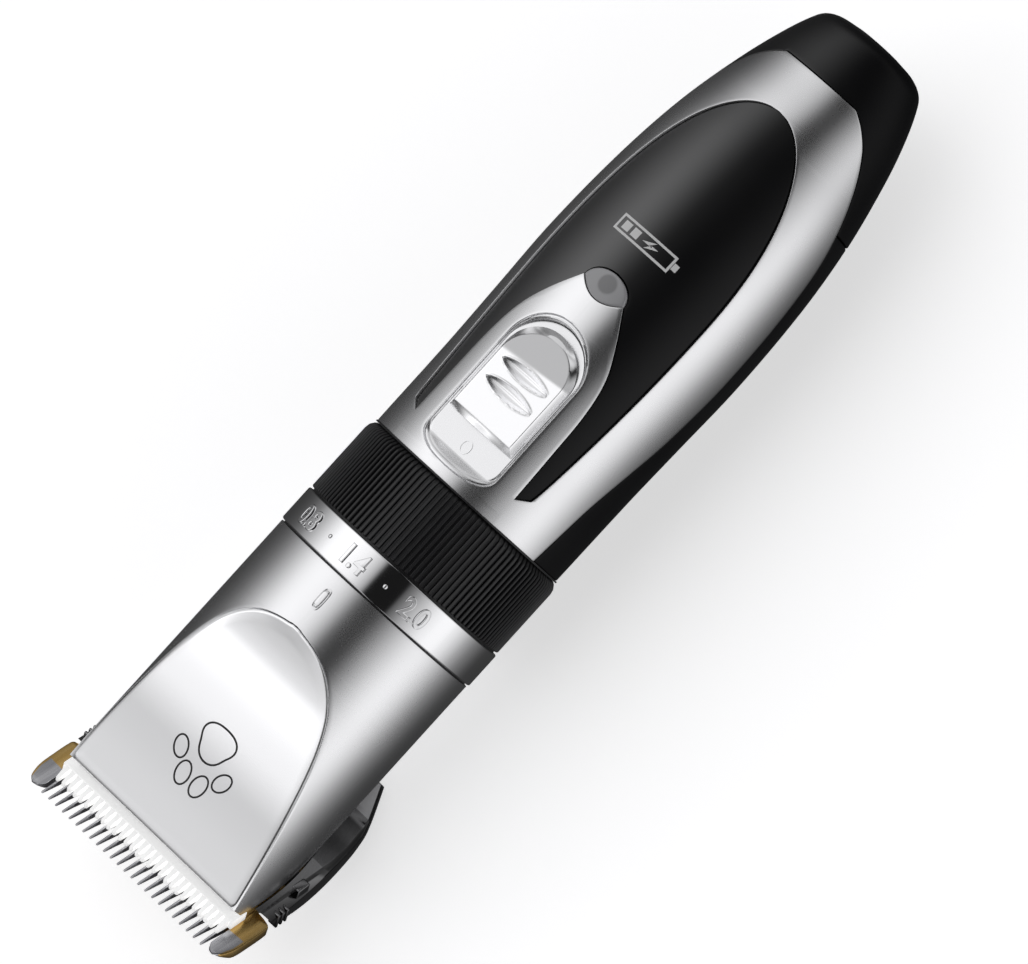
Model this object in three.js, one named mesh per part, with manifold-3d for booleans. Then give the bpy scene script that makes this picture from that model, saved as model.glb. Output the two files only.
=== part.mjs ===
// Cordless pet clipper. Lengths are millimetres, X runs across, Y runs from the blade to the tail and
// Z runs out of the switch side. Stations are distances along Y from the tips of the fixed blade, and
// heights are measured from the axis of the neck. The last lines put both into the part's own frame.
import * as THREE from "three";
import { mergeVertices } from "three/addons/utils/BufferGeometryUtils.js";
import Module from "manifold-3d";

const wasm = await Module();
wasm.setup();

// Overall
const overallLength = 175;
const axisHeight = 20;
const restLevel = -axisHeight;
const gap = 0.3;

// Head and neck
const neckRadius = 19.5;
const neckWall = 2.2;
const faceStart = 7.2;
const faceLine = [
  [-5, 1.6],
  [7.2, 5.1],
  [15, 7.5],
  [23, 9.8],
  [31, 12],
  [35, 13.2],
  [38.9, 14.55],
  [41, 15.5],
  [42.8, 16.45],
  [45, 18],
  [46.6, 19.45],
  [60, 30],
];
const plateThickness = 0.9;
const neckEnd = 57.1;
const collarRadius = 17.1;
const collarWall = 1.5;

// Blade set. The blade plane starts at the tips and drops towards the tail.
const bladeTilt = THREE.MathUtils.degToRad(37.6);
const bladeTipHeight = 5;
const toothCount = 24;
const toothPitch = 1.577;
const fixedBladeThickness = 2.2;
const movingBladeThickness = 2;
const movingToothCount = 29;
const movingToothPitch = 1.3;
const hingeStation = 38.8;
const hingeHeight = -18.2;
const hingeBarrelRadius = 1.8;

// Rings
const dialStart = 57.4;
const dialEnd = 63.8;
const gripStart = 64.1;
const gripEnd = 78.5;
const dialRadius = 19.8;
const gripRadius = 19.6;

// Handle
const handleStart = 78.8;
const tailSeam = 147.9;
const frameApex = 164.3;
const handleWall = 2.2;
const handleSides = 36;

// Drive
const motorRadius = 12;
const motorStart = 44.8;
const motorEnd = 73;
const pinOffset = 1.2;
const batteryRadius = 7.2;
const batteryHeight = -6;
const boardHeight = 6;
const boardThickness = 1.6;

const finishes = {
  satinChrome: { color: 0xc9cccf, metalness: 0.95, roughness: 0.28 },
  darkChrome: { color: 0x4a4c50, metalness: 0.95, roughness: 0.25 },
  whitePlate: { color: 0xdfe3e4, metalness: 0.6, roughness: 0.35 },
  blackPlastic: { color: 0x121314, metalness: 0, roughness: 0.45 },
  greyPlastic: { color: 0x8b8d90, metalness: 0, roughness: 0.5 },
  whitePlastic: { color: 0xe8e8e4, metalness: 0, roughness: 0.5 },
  clearPlastic: { color: 0xa5a8aa, metalness: 0, roughness: 0.15 },
  ceramic: { color: 0xf4f4f2, metalness: 0, roughness: 0.2 },
  titanium: { color: 0xb58f4c, metalness: 1, roughness: 0.3 },
  steel: { color: 0xb9bcc0, metalness: 1, roughness: 0.3 },
  brass: { color: 0xc9a45a, metalness: 1, roughness: 0.35 },
  boardGreen: { color: 0x1e5b38, metalness: 0, roughness: 0.55 },
  cellSleeve: { color: 0x2b5f8f, metalness: 0, roughness: 0.4 },
  redWire: { color: 0xb02a22, metalness: 0, roughness: 0.5 },
  blackWire: { color: 0x1b1b1b, metalness: 0, roughness: 0.5 },
};

// ---- Solids ----

function solid(geometry) {
  const bare = geometry.clone();
  bare.deleteAttribute("normal");
  bare.deleteAttribute("uv");
  const merged = mergeVertices(bare, 1e-4);
  const place = merged.attributes.position;
  const corners = merged.index.array;
  const kept = [];
  let volume = 0;
  const [a, b, c] = [new THREE.Vector3(), new THREE.Vector3(), new THREE.Vector3()];
  for (let i = 0; i < corners.length; i += 3) {
    const [p, q, r] = [corners[i], corners[i + 1], corners[i + 2]];
    if (p !== q && q !== r && r !== p) {
      kept.push(p, q, r);
      a.fromBufferAttribute(place, p);
      b.fromBufferAttribute(place, q);
      c.fromBufferAttribute(place, r);
      volume += a.dot(b.cross(c));
    }
  }
  if (volume < 0) {
    kept.reverse();
  }
  return new wasm.Manifold(
    new wasm.Mesh({
      numProp: 3,
      vertProperties: new Float32Array(place.array),
      triVerts: new Uint32Array(kept),
    }),
  );
}

function geometryOf(manifold) {
  const mesh = manifold.getMesh();
  const geometry = new THREE.BufferGeometry();
  geometry.setAttribute("position", new THREE.BufferAttribute(mesh.vertProperties, 3));
  geometry.setIndex(new THREE.BufferAttribute(mesh.triVerts, 1));
  geometry.computeVertexNormals();
  return geometry;
}

const join = (first, ...others) => others.reduce((sum, other) => sum.add(other), first);
const cut = (first, ...tools) => tools.reduce((rest, tool) => rest.subtract(tool), first);

// A closed skin through rings of points that all have the same count, with a fan over each end.
function loft(rings) {
  const count = rings[0].length;
  const points = rings.flat();
  const index = [];
  for (let r = 0; r < rings.length - 1; r += 1) {
    for (let i = 0; i < count; i += 1) {
      const here = r * count + i;
      const next = r * count + ((i + 1) % count);
      index.push(here, next, here + count, next, next + count, here + count);
    }
  }
  const ends = [
    [0, rings[0], false],
    [(rings.length - 1) * count, rings[rings.length - 1], true],
  ];
  for (const [start, ring, forward] of ends) {
    const middle = [0, 1, 2].map((axis) => ring.reduce((sum, point) => sum + point[axis], 0) / count);
    points.push(middle);
    for (let i = 0; i < count; i += 1) {
      const here = start + i;
      const next = start + ((i + 1) % count);
      index.push(points.length - 1, forward ? here : next, forward ? next : here);
    }
  }
  const geometry = new THREE.BufferGeometry();
  geometry.setAttribute("position", new THREE.Float32BufferAttribute(points.flat(), 3));
  geometry.setIndex(index);
  return solid(geometry);
}

function box(xRange, yRange, zRange) {
  const size = [xRange, yRange, zRange].map(([low, high]) => high - low);
  const middle = [xRange, yRange, zRange].map(([low, high]) => (high + low) / 2);
  return solid(new THREE.BoxGeometry(...size).translate(...middle));
}

function rodAlongY(radius, yStart, yEnd, x = 0, z = 0, sides = 16) {
  const geometry = new THREE.CylinderGeometry(radius, radius, yEnd - yStart, sides);
  return solid(geometry.translate(x, (yStart + yEnd) / 2, z));
}

function rodAlongZ(radius, zStart, zEnd, x, y, sides = 10) {
  const geometry = new THREE.CylinderGeometry(radius, radius, zEnd - zStart, sides).rotateX(Math.PI / 2);
  return solid(geometry.translate(x, y, (zStart + zEnd) / 2));
}

function rodAlongX(radius, xStart, xEnd, y, z, sides = 12) {
  const geometry = new THREE.CylinderGeometry(radius, radius, xEnd - xStart, sides).rotateZ(Math.PI / 2);
  return solid(geometry.translate((xStart + xEnd) / 2, y, z));
}

// A ring about the Y axis from [radius, station] pairs that go once round its section.
function turned(section, sides = 36) {
  const profile = [...section, section[0]].map(([radius, station]) => new THREE.Vector2(radius, station));
  return solid(new THREE.LatheGeometry(profile, sides));
}

function sleeve(inner, outer, yStart, yEnd, sides = 36) {
  const section = [
    [inner, yStart],
    [outer, yStart],
    [outer, yEnd],
    [inner, yEnd],
  ];
  return turned(section, sides);
}

// A plan outline of [x, y] points raised from one height to another.
function plan(outline, zLow, zHigh) {
  const shape = new THREE.Shape(outline.map(([x, y]) => new THREE.Vector2(x, y)));
  const geometry = new THREE.ExtrudeGeometry(shape, { depth: zHigh - zLow, bevelEnabled: false });
  return solid(geometry.translate(0, 0, zLow));
}

// A side profile of [station, height] points carried across X.
function profile(outline, xLow, xHigh) {
  const shape = new THREE.Shape(outline.map(([y, z]) => new THREE.Vector2(y, z)));
  const geometry = new THREE.ExtrudeGeometry(shape, { depth: xHigh - xLow, bevelEnabled: false });
  const turn = new THREE.Matrix4().makeBasis(
    new THREE.Vector3(0, 1, 0),
    new THREE.Vector3(0, 0, 1),
    new THREE.Vector3(1, 0, 0),
  );
  return solid(geometry.applyMatrix4(turn).translate(xLow, 0, 0));
}

// A round wire through [x, y, z] points.
function wire(radius, points, steps, sides = 6) {
  const section = new THREE.Shape().absarc(0, 0, radius, 0, 2 * Math.PI);
  const path = new THREE.CatmullRomCurve3(points.map((point) => new THREE.Vector3(...point)));
  const settings = { steps, extrudePath: path, bevelEnabled: false, curveSegments: sides / 2 };
  return solid(new THREE.ExtrudeGeometry(section, settings));
}

// A smooth curve through [station, value] pairs, held level beyond its ends.
function smooth(pairs) {
  const last = pairs.length - 1;
  const slope = (k) => {
    const before = pairs[Math.max(k - 1, 0)];
    const after = pairs[Math.min(k + 1, last)];
    return (after[1] - before[1]) / (after[0] - before[0]);
  };
  return (station) => {
    if (station <= pairs[0][0]) {
      return pairs[0][1];
    }
    if (station >= pairs[last][0]) {
      return pairs[last][1];
    }
    const i = pairs.findIndex((pair) => pair[0] > station) - 1;
    const step = pairs[i + 1][0] - pairs[i][0];
    const t = (station - pairs[i][0]) / step;
    const start = (1 + 2 * t) * (1 - t) ** 2 * pairs[i][1] + t * (1 - t) ** 2 * step * slope(i);
    const end = t * t * (3 - 2 * t) * pairs[i + 1][1] - t * t * (1 - t) * step * slope(i + 1);
    return start + end;
  };
}

// ---- Assembly ----

const clipper = new THREE.Group();
const bladeFrame = new THREE.Group();
bladeFrame.position.z = bladeTipHeight;
bladeFrame.rotation.x = -bladeTilt;
clipper.add(bladeFrame);

function addPart(name, finish, body, parent = clipper) {
  const mesh = new THREE.Mesh(geometryOf(body), new THREE.MeshStandardMaterial(finishes[finish]));
  mesh.name = name;
  parent.add(mesh);
}

// ---- Handle casings ----

const handleHalfWidth = smooth([
  [handleStart, 18.9],
  [95, 18.9],
  [107, 19.2],
  [120, 19.55],
  [135, 19],
  [tailSeam, 17.6],
  [160, 15.1],
  [167, 13],
  [172, 10.9],
  [173.6, 9.6],
  [174.6, 7.4],
  [overallLength, 4],
]);
const handleTop = smooth([
  [handleStart, 19.1],
  [100, 19.4],
  [120, 19.3],
  [135, 18.4],
  [tailSeam, 16.5],
  [156, 14.2],
  [164, 11.2],
  [172, 8.7],
  [174.2, 6.8],
  [overallLength, 3.4],
]);
const handleDepth = smooth([
  [handleStart, 19.1],
  [95, 20.4],
  [135, 20.6],
  [tailSeam, 18.6],
  [160, 15.6],
  [168, 13.2],
  [173, 10.8],
  [174.4, 8.6],
  [overallLength, 5],
]);
const frameAngle = smooth([
  [handleStart, 67],
  [84, 69],
  [91, 71],
  [98.5, 77],
  [106, 83],
  [120, 84],
  [140, 83],
  [tailSeam, 77],
  [155, 68],
  [160, 56],
  [163, 44],
  [frameApex, 31],
]);
const handleStations = [78.8, 95, 107, 120, 133, 142, 150, 157, 163, 168, 172, 173.6];
const endStations = [174.5, overallLength];

function handleRing(station, inset) {
  const ring = [];
  for (let i = 0; i < handleSides; i += 1) {
    const angle = (2 * Math.PI * i) / handleSides;
    const height = Math.cos(angle) > 0 ? handleTop(station) : handleDepth(station);
    const level = Math.cos(angle) * (height - inset);
    ring.push([
      Math.sin(angle) * (handleHalfWidth(station) - inset),
      station,
      Math.max(level, restLevel + inset),
    ]);
  }
  return ring;
}

function handleBody(inset) {
  const stations = inset > 1 ? [70, ...handleStations.slice(1)] : [...handleStations, ...endStations];
  const rings = stations.map((station) => handleRing(station, inset));
  if (inset > 1) {
    rings.pop();
    rings.push(handleRing(172.2, inset));
  } else if (inset > 0) {
    rings[0] = handleRing(70, inset);
  }
  return loft(rings);
}

// The sector of the handle that the silver frame takes, lowered by the gap for what lies behind it.
function frameSector(lowered) {
  const reach = 40;
  const rings = [60, ...handleStations.filter((y) => y < 160), 160, 161.6, 163, frameApex + lowered].map((y) => {
    const angle = THREE.MathUtils.degToRad(frameAngle(y));
    const [side, height] = [Math.sin(angle) * reach, Math.cos(angle) * reach];
    return [
      [0, y, -lowered],
      [side, y, height - lowered],
      [side, y, height + reach],
      [-side, y, height + reach],
      [-side, y, height - lowered],
    ];
  });
  return loft(rings);
}

// Both sides of an outline whose half-width is a function of the station.
function bothSides(halfWidth, stations) {
  const right = stations.map((y) => [halfWidth(y), y]);
  const left = stations.map((y) => [-halfWidth(y), y]).reverse();
  const closed = [...right, ...left];
  return closed.filter(([x, y], i) => {
    const [px, py] = closed[(i + closed.length - 1) % closed.length];
    return Math.hypot(x - px, y - py) > 0.01;
  });
}

function eased(start, end, count) {
  return Array.from({ length: count + 1 }, (_, i) => start + (end - start) * Math.sin((Math.PI * i) / count / 2));
}

const insetStart = 84.2;
const insetWidest = 119;
const insetApex = 156.1;
const insetWidth = 14.75;
function insetHalf(y) {
  if (y < insetWidest) {
    return insetWidth - 1.75 * ((insetWidest - y) / 34) ** 1.7;
  }
  return insetWidth * Math.sqrt(Math.max(0, 1 - ((y - insetWidest) / (insetApex - insetWidest)) ** 2.5));
}
const lensTip = 120.3;
const tongueHalf = smooth([
  [insetStart, 11],
  [93, 10.8],
  [101, 10.6],
  [107, 9.75],
  [112, 7.5],
  [117, 4.3],
  [119.4, 2.2],
  [lensTip, 0.4],
]);
const tongueStations = [60, 84, 93, 100, 104, 107, 109.5, 112, 114.5, 117, 118.6, 119.6, lensTip];

function teardrop(shrink, zLow, zHigh) {
  const stations = [insetStart + shrink, 92, 100, 110, ...eased(insetWidest, insetApex - shrink, 9)];
  const halfWidth = (y) => Math.max(insetHalf(y + 1.5 * shrink) - shrink, 0.05);
  const outer = plan(bothSides(halfWidth, stations), zLow, zHigh);
  return cut(outer, plan(bothSides((y) => tongueHalf(y) + shrink, tongueStations), zLow, zHigh));
}

const recessHalf = 7.6;
const recessStart = 80.8;
const recessArch = 102.5;
const recessEnd = 110.1;
function recessOutline(shrink) {
  const half = recessHalf - shrink;
  const arch = eased(recessArch, recessEnd - shrink, 8);
  const span = recessEnd - shrink - recessArch;
  const halfWidth = (y) => half * Math.sqrt(Math.max(0, 1 - (Math.max(0, y - recessArch) / span) ** 2));
  return (start) => bothSides(halfWidth, [start, ...arch]);
}

const lensStart = 115.1;
const slotHalf = 2.6;
const slideTravel = 4.5;
const stemStart = 97;
const stemEnd = 103.6;
const recessFloorInset = 1.3;
const bossPlaces = [
  [12.6, 88],
  [-12.6, 88],
  [13, 139],
  [-13, 139],
];

const outerBody = handleBody(0);
const innerBody = handleBody(handleWall);
const shell = cut(outerBody, innerBody);
const lensCutter = cut(
  plan(bothSides((y) => tongueHalf(y) + 0.05, tongueStations), 8, 25),
  box([-20, 20], [50, lensStart], [0, 30]),
);

function frontCasing() {
  const bosses = bossPlaces.map(([x, y]) => rodAlongZ(2.6, 0.2, 18, x, y).intersect(handleBody(0.8)));
  const pilots = bossPlaces.map(([x, y]) => rodAlongZ(1.3, -1, 7.2, x, y, 8));
  const recess = cut(plan(recessOutline(0)(recessStart), 8, 25), handleBody(recessFloorInset));
  const slot = box([-slotHalf, slotHalf], [stemStart - slideTravel - 0.6, stemEnd + 0.6], [8, 25]);
  const panelBed = cut(teardrop(0, 5, 30), handleBody(2.6));
  const frame = join(shell.intersect(frameSector(0)), ...bosses);
  return cut(frame, panelBed, recess, slot, lensCutter, ...pilots);
}

function rearCasing() {
  const rear = cut(shell, frameSector(gap), box([-30, 30], [tailSeam, 190], [-30, 30]));
  const bosses = bossPlaces.map(([x, y]) => rodAlongZ(3.4, -18, -0.2, x, y).intersect(handleBody(0.8)));
  const bores = bossPlaces.map(([x, y]) => join(rodAlongZ(2.4, -25, -7, x, y), rodAlongZ(1.4, -8, 1, x, y)));
  return cut(join(rear, ...bosses), ...bores);
}

const socketHeight = -1;
const socketBore = 3.5;
function tailCap() {
  const cap = cut(shell, frameSector(gap), box([-30, 30], [60, tailSeam + gap], [-30, 30]));
  return cut(cap, rodAlongY(socketBore, 168, 180, 0, socketHeight, 24));
}

function switchSlider() {
  const arch = eased(101, 107.7, 8);
  const skirtHalf = (y) => 6.9 * Math.sqrt(Math.max(0, 1 - (Math.max(0, y - 101) / 6.7) ** 2));
  const outline = bothSides(skirtHalf, [88.1, ...arch]);
  const button = cut(plan(outline, 10, 19), handleBody(recessFloorInset - gap));
  const groove = (y) => rodAlongX(1.6, -4.2, 4.2, y, 20.2, 24);
  const stem = box([-slotHalf + 0.4, slotHalf - 0.4], [stemStart, stemEnd], [16.3, 18.6]);
  return join(cut(button, groove(95.3), groove(99.1)), stem);
}

addPart("front_casing", "satinChrome", frontCasing());
addPart("rear_casing", "blackPlastic", rearCasing());
addPart("tail_cap", "blackPlastic", tailCap());
const panelSkin = cut(handleBody(0.25), handleBody(2.1));
addPart("inset_panel", "blackPlastic", teardrop(gap, 5, 30).intersect(panelSkin));
const lensBlank = plan(bothSides((y) => tongueHalf(y) - gap, tongueStations.slice(0, -1)), 8, 25);
const lensSkin = cut(handleBody(0.1), handleBody(2.1));
const lensTrim = box([-20, 20], [50, lensStart + gap], [0, 30]);
addPart("indicator_lens", "clearPlastic", cut(lensBlank.intersect(lensSkin), lensTrim));
addPart("switch_slider", "satinChrome", switchSlider());

// ---- Switch and electronics ----

const leverMiddle = (stemStart + stemEnd) / 2;
const switchTop = 12;
function switchBody() {
  const body = box([-4, 4], [89, 107], [boardHeight + boardThickness + gap, switchTop]);
  return cut(body, box([-1.8, 1.8], [leverMiddle - slideTravel - 2, leverMiddle + 2], [10, 13]));
}

addPart("switch_carrier", "greyPlastic", box([-4.6, 4.6], [stemStart - 2, stemEnd + 2], [14.6, 16]));
addPart("switch_lever", "blackPlastic", box([-1.2, 1.2], [leverMiddle - 1.4, leverMiddle + 1.4], [10.6, 14.3]));
addPart("slide_switch_body", "steel", switchBody());
const boardOutline = bothSides(() => 9.4, [84, 134]);
const boardTop = boardHeight + boardThickness;
addPart("circuit_board", "boardGreen", plan(boardOutline, boardHeight, boardTop));
addPart("charge_led", "clearPlastic", rodAlongZ(1.5, boardTop + gap, 15.4, 0, 118.2));
addPart("charge_chip", "blackPlastic", box([2, 7], [111, 116], [boardTop + gap, boardTop + 1.9]));
addPart("capacitor", "cellSleeve", rodAlongZ(2.5, boardTop + gap, boardTop + 6, -4, 126));

const batteryStart = 85;
const batteryEnd = 133;
addPart("battery_cell", "cellSleeve", rodAlongY(batteryRadius, batteryStart, batteryEnd, 0, batteryHeight, 24));
addPart("battery_cap", "steel", rodAlongY(2.8, batteryEnd + gap, batteryEnd + 1.8, 0, batteryHeight));
addPart("battery_contact_front", "steel", box([-4.5, 4.5], [84, 84.6], [batteryHeight - 4, batteryHeight + 6]));
const rearContact = box([-4.5, 4.5], [135.2, 135.8], [batteryHeight - 4, batteryHeight + 6]);
addPart("battery_contact_rear", "steel", rearContact);

function chargingSocket() {
  const body = box([-4.6, 4.6], [158, 169.4], [socketHeight - 4.6, socketHeight + 4.6]);
  return cut(body, rodAlongY(3, 160, 175, 0, socketHeight), rodAlongY(0.95, 156, 165, 0, socketHeight, 8));
}
addPart("charging_socket", "blackPlastic", chargingSocket());
addPart("socket_pin", "brass", rodAlongY(0.65, 157, 168.6, 0, socketHeight, 8));

bossPlaces.forEach(([x, y], i) => {
  const screw = join(rodAlongZ(2.1, -9, -7.3, x, y), rodAlongZ(1, -8, 6.6, x, y, 8));
  addPart(`casing_screw_${i + 1}`, "steel", screw);
});

const wireRadius = 0.6;
const wires = {
  motor_wire_red: [[3, 77.6, 5], [3.4, 80, 6], [4.4, 82, 8.6], [5, 85, 8.6], [5, 88, 8.6]],
  motor_wire_black: [[-3, 77.6, 5], [-3.4, 80, 6], [-4.8, 82, 8.6], [-5, 85, 8.6], [-5, 88, 8.6]],
  battery_wire_red: [[0, 136.6, 0.6], [1, 138, 3], [3, 137, 8.6], [5, 134, 9], [5, 130, 8.6]],
  socket_wire: [[0, 157.6, 4.6], [-2, 152, 6], [-5, 142, 8.8], [-6, 136, 9.4], [-7, 131, 8.6]],
};
Object.entries(wires).forEach(([name, points]) => {
  addPart(name, name.endsWith("red") ? "redWire" : "blackWire", wire(wireRadius, points, 10));
});

// ---- Head housing and face plate ----

// Heights of a line that runs parallel to the blade plane, at a distance along the plane's normal.
const planeHeight = (y, distance) => bladeTipHeight - y * Math.tan(bladeTilt) + distance / Math.cos(bladeTilt);
const housingClearance = movingBladeThickness + 0.8;
const housingCut = -16.1;

// A layer that follows the hollow line of the face, between two heights over it.
function slab(low, high) {
  const under = faceLine.map(([y, z]) => [y, z + low]);
  const over = faceLine.map(([y, z]) => [y, z + high]).reverse();
  return profile([...under, ...over], -30, 30);
}

const plateApex = 46.6;
const faceHeight = smooth(faceLine);
const archStart = 24;
const plateHalf = (y) => Math.sqrt(Math.max(4, neckRadius ** 2 - faceHeight(y) ** 2));
function plateOutline(shrink) {
  const stations = [faceStart + 0.4 + shrink, 14, 22, ...eased(30, plateApex, 8)];
  const ends = (y) => y - (shrink * Math.max(0, y - archStart)) / (plateApex - archStart);
  return bothSides((y) => plateHalf(y) - shrink, stations).map(([x, y]) => [x, ends(y)]);
}

function headHousing() {
  const outside = join(
    rodAlongY(neckRadius, faceStart, neckEnd, 0, 0, 48),
    sleeve(collarRadius - collarWall, collarRadius, neckEnd - 1, gripEnd - 0.1, 48),
  );
  const hollow = join(
    rodAlongY(neckRadius - neckWall, 9.5, 54, 0, 0, 48),
    rodAlongY(collarRadius - collarWall, 50, 90, 0, 0, 48),
  );
  const roof = slab(-plateThickness - 1.7, 40);
  const below = profile(
    [
      [-5, planeHeight(-5, housingClearance)],
      [38, planeHeight(38, housingClearance)],
      [38, -40],
      [-5, -40],
    ],
    -30,
    30,
  );
  const heelRoom = box([-30, 30], [30, 41], [-30, housingCut]);
  const aboveFace = slab(0, 40);
  const neckBack = box([-30, 30], [47.5, 100], [-30, 30]);
  const pocket = plan(plateOutline(0), 0, 40).intersect(slab(-plateThickness - gap, 40));
  const lug = box([-3.4, 3.4], [hingeStation - 1.5, 43], [-19.2, -16.4]);
  const pinHole = rodAlongX(1, -5, 5, hingeStation, hingeHeight);
  const keySlot = box([-12, 12], [65, 71.4], [10.4, 20]);
  const leafWindow = box([-6, 6], [72.6, 76.4], [-20, -10]);
  const mark = indexMark();
  const cavity = cut(hollow, cut(roof, neckBack));
  const skin = cut(outside, cut(aboveFace, neckBack), pocket, cavity, below, heelRoom);
  return cut(join(skin, mark, lug), pinHole, keySlot, leafWindow);
}

function indexMark() {
  const bar = plan(bothSides((y) => 0.6 * Math.sqrt(Math.max(0.02, 1 - Math.abs((y - 52.6) / 1.65) ** 6)),
    [50.95, 51.2, 51.6, 53.6, 54, 54.25]), 15, 25);
  return bar.intersect(cut(rodAlongY(neckRadius + 0.25, 48, 57, 0, 0, 48), rodAlongY(neckRadius - 1, 47, 58)));
}

addPart("head_housing", "satinChrome", headHousing());
const plateSlab = slab(-plateThickness, 0);
addPart("face_plate", "whitePlate", plan(plateOutline(gap), 0, 40).intersect(plateSlab));
addPart("hinge_pin", "steel", rodAlongX(0.7, -12.4, 12.4, hingeStation, hingeHeight, 10));

// ---- Adjusting rings ----

const ringBore = collarRadius + gap;
addPart("dial_ring", "satinChrome", turned([
  [ringBore, dialStart],
  [dialRadius - 0.4, dialStart],
  [dialRadius, dialStart + 0.4],
  [dialRadius, dialEnd - 0.4],
  [dialRadius - 0.4, dialEnd],
  [ringBore, dialEnd],
], 48));
addPart("grip_ring", "blackPlastic", turned([
  [ringBore, gripStart],
  [gripRadius, gripStart],
  [gripRadius, gripEnd - 1.2],
  [gripRadius - 0.7, gripEnd],
  [ringBore, gripEnd],
], 48));

// The sleeve's front edge rises round the axis, so that turning it pushes the rod.
const sleeveInner = 13.6;
const sleeveOuter = 15.3;
const sleeveRise = 0.96;
function adjustSleeve() {
  const rings = [];
  for (let i = 0; i <= 36; i += 1) {
    const angle = (2 * Math.PI * i) / 36;
    const front = 58.4 + sleeveRise * Math.sin(angle);
    const [side, height] = [Math.sin(angle), -Math.cos(angle)];
    rings.push([
      [side * sleeveInner, front, height * sleeveInner],
      [side * sleeveOuter, front, height * sleeveOuter],
      [side * sleeveOuter, 71, height * sleeveOuter],
      [side * sleeveInner, 71, height * sleeveInner],
    ]);
  }
  const half = [rings.slice(0, 19), rings.slice(18)].map((part) => loft(part));
  const key = box([-1.8, 1.8], [66, 70.4], [sleeveOuter - 0.9, ringBore - gap]);
  return join(...half, key);
}
addPart("adjust_sleeve", "whitePlastic", adjustSleeve());
const rodPath = [
  [0, 58, -14.5],
  [0, 50, -14.6],
  [0, 42, -14.6],
  [0, 34.4, -14.3],
  [0, 28, -10.2],
  [0, 22.2, -6],
];
addPart("adjust_rod", "steel", wire(0.9, rodPath, 14));
addPart("detent_leaf", "steel", sleeve(15.9, 16.3, 73, 76, 48).intersect(box([-5.6, 5.6], [70, 80], [-20, -10])));

// ---- Motor and drive ----

const shaftRadius = 1.15;
addPart("motor_bracket", "steel", cut(
  rodAlongY(16.8, 43, 44.4, 0, 0, 32),
  rodAlongY(3.6, 40, 50),
  box([-20, 20], [40, 50], [14, 20]),
  rodAlongY(1.6, 40, 50, 0, -14.6, 16),
  rodAlongY(1, 40, 50, 8, 0, 8),
  rodAlongY(1, 40, 50, -8, 0, 8),
));
addPart("motor_can", "steel", cut(
  rodAlongY(motorRadius, motorStart, motorEnd, 0, 0, 28),
  rodAlongY(motorRadius - 0.8, motorStart + 1, motorEnd + 1, 0, 0, 28),
  rodAlongY(3.3, 40, 50),
  rodAlongY(1, 40, 50, 8, 0, 8),
  rodAlongY(1, 40, 50, -8, 0, 8),
));
addPart("motor_bearing", "brass", sleeve(shaftRadius + gap, 3, 43.4, 46.4, 24));
addPart("motor_end_cap", "whitePlastic", sleeve(shaftRadius + gap, motorRadius, motorEnd + gap, 75.6, 28));
[-1, 1].forEach((side) => {
  const name = side < 0 ? "left" : "right";
  const magnet = sleeve(9, 10.8, 48, 70, 24).intersect(box(side < 0 ? [-12, -4] : [4, 12], [40, 80], [-12, 12]));
  addPart(`motor_magnet_${name}`, "darkChrome", magnet);
  const screw = join(rodAlongY(1.7, 41.5, 42.7, 8 * side), rodAlongY(0.7, 42.2, 47, 8 * side, 0, 8));
  addPart(`motor_screw_${name}`, "steel", screw);
});
addPart("motor_armature", "steel", sleeve(shaftRadius + gap, 8.2, 49, 69, 20));
addPart("motor_shaft", "steel", rodAlongY(shaftRadius, 28.4, 77, 0, 0, 16));
addPart("eccentric_cam", "whitePlastic", cut(
  rodAlongY(4.2, 26.6, 30.6, 0, 0, 32),
  rodAlongY(shaftRadius + gap, 28, 32, 0, 0, 16),
  rodAlongY(1.3, 26, 27.6, pinOffset, 0, 16),
));
addPart("cam_pin", "steel", rodAlongY(1, 20, 27.2, pinOffset, 0, 16));

// ---- Blade set ----
// Pieces that lie on the blade plane are drawn flat: X across, Y along the plane, Z out of it.

// A comb of tapered teeth across the front of a plate, from left to right.
function teeth(count, pitch, tip, root, tipHalf, rootHalf) {
  const points = [];
  for (let i = 0; i < count; i += 1) {
    const x = (i - (count - 1) / 2) * pitch;
    points.push([x - rootHalf, root], [x - tipHalf, tip + 0.3], [x, tip], [x + tipHalf, tip + 0.3]);
    points.push([x + rootHalf, root]);
  }
  return points;
}

const bladeDepth = 24.6;
const earHalf = 22.6;
const toothRoot = 8.6;
function fixedBlade() {
  const comb = teeth(toothCount, toothPitch, 0, toothRoot, 0.32, 0.6);
  const ear = [
    [18.95, toothRoot],
    [18.95, 1.6],
    [19.6, 0.5],
    [20.6, 0.3],
    [21.9, 1.4],
    [22.6, 3.6],
    [earHalf, 10.6],
    [22.2, 11.4],
    [19, 11.6],
    [18.8, bladeDepth],
  ];
  const mirrored = ear.map(([x, y]) => [-x, y]).reverse();
  const plate = plan([...mirrored, ...comb, ...ear], -fixedBladeThickness, 0);
  const holes = [-16.4, 16.4].map((x) => rodAlongZ(1.4, -5, 5, x, 20.4));
  const bevel = profile([[-1, 0.65], [3.4, -2.2], [3.4, -5], [-1, -5]], -30, 30);
  return cut(plate, bevel, ...holes);
}

const movingFront = 3.2;
function movingBlade() {
  const comb = teeth(movingToothCount, movingToothPitch, movingFront, movingFront + 4, 0.25, 0.45);
  const half = ((movingToothCount - 1) / 2) * movingToothPitch + 1.1;
  const rightBack = [
    [half, movingFront + 4],
    [half, 8.8],
    [17.6, 9.6],
    [17.6, 13],
    [14, 16],
  ];
  const back = [...rightBack, ...rightBack.map(([x, y]) => [-x, y]).reverse()];
  return plan([...comb, ...back], gap, gap + movingBladeThickness);
}

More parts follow.
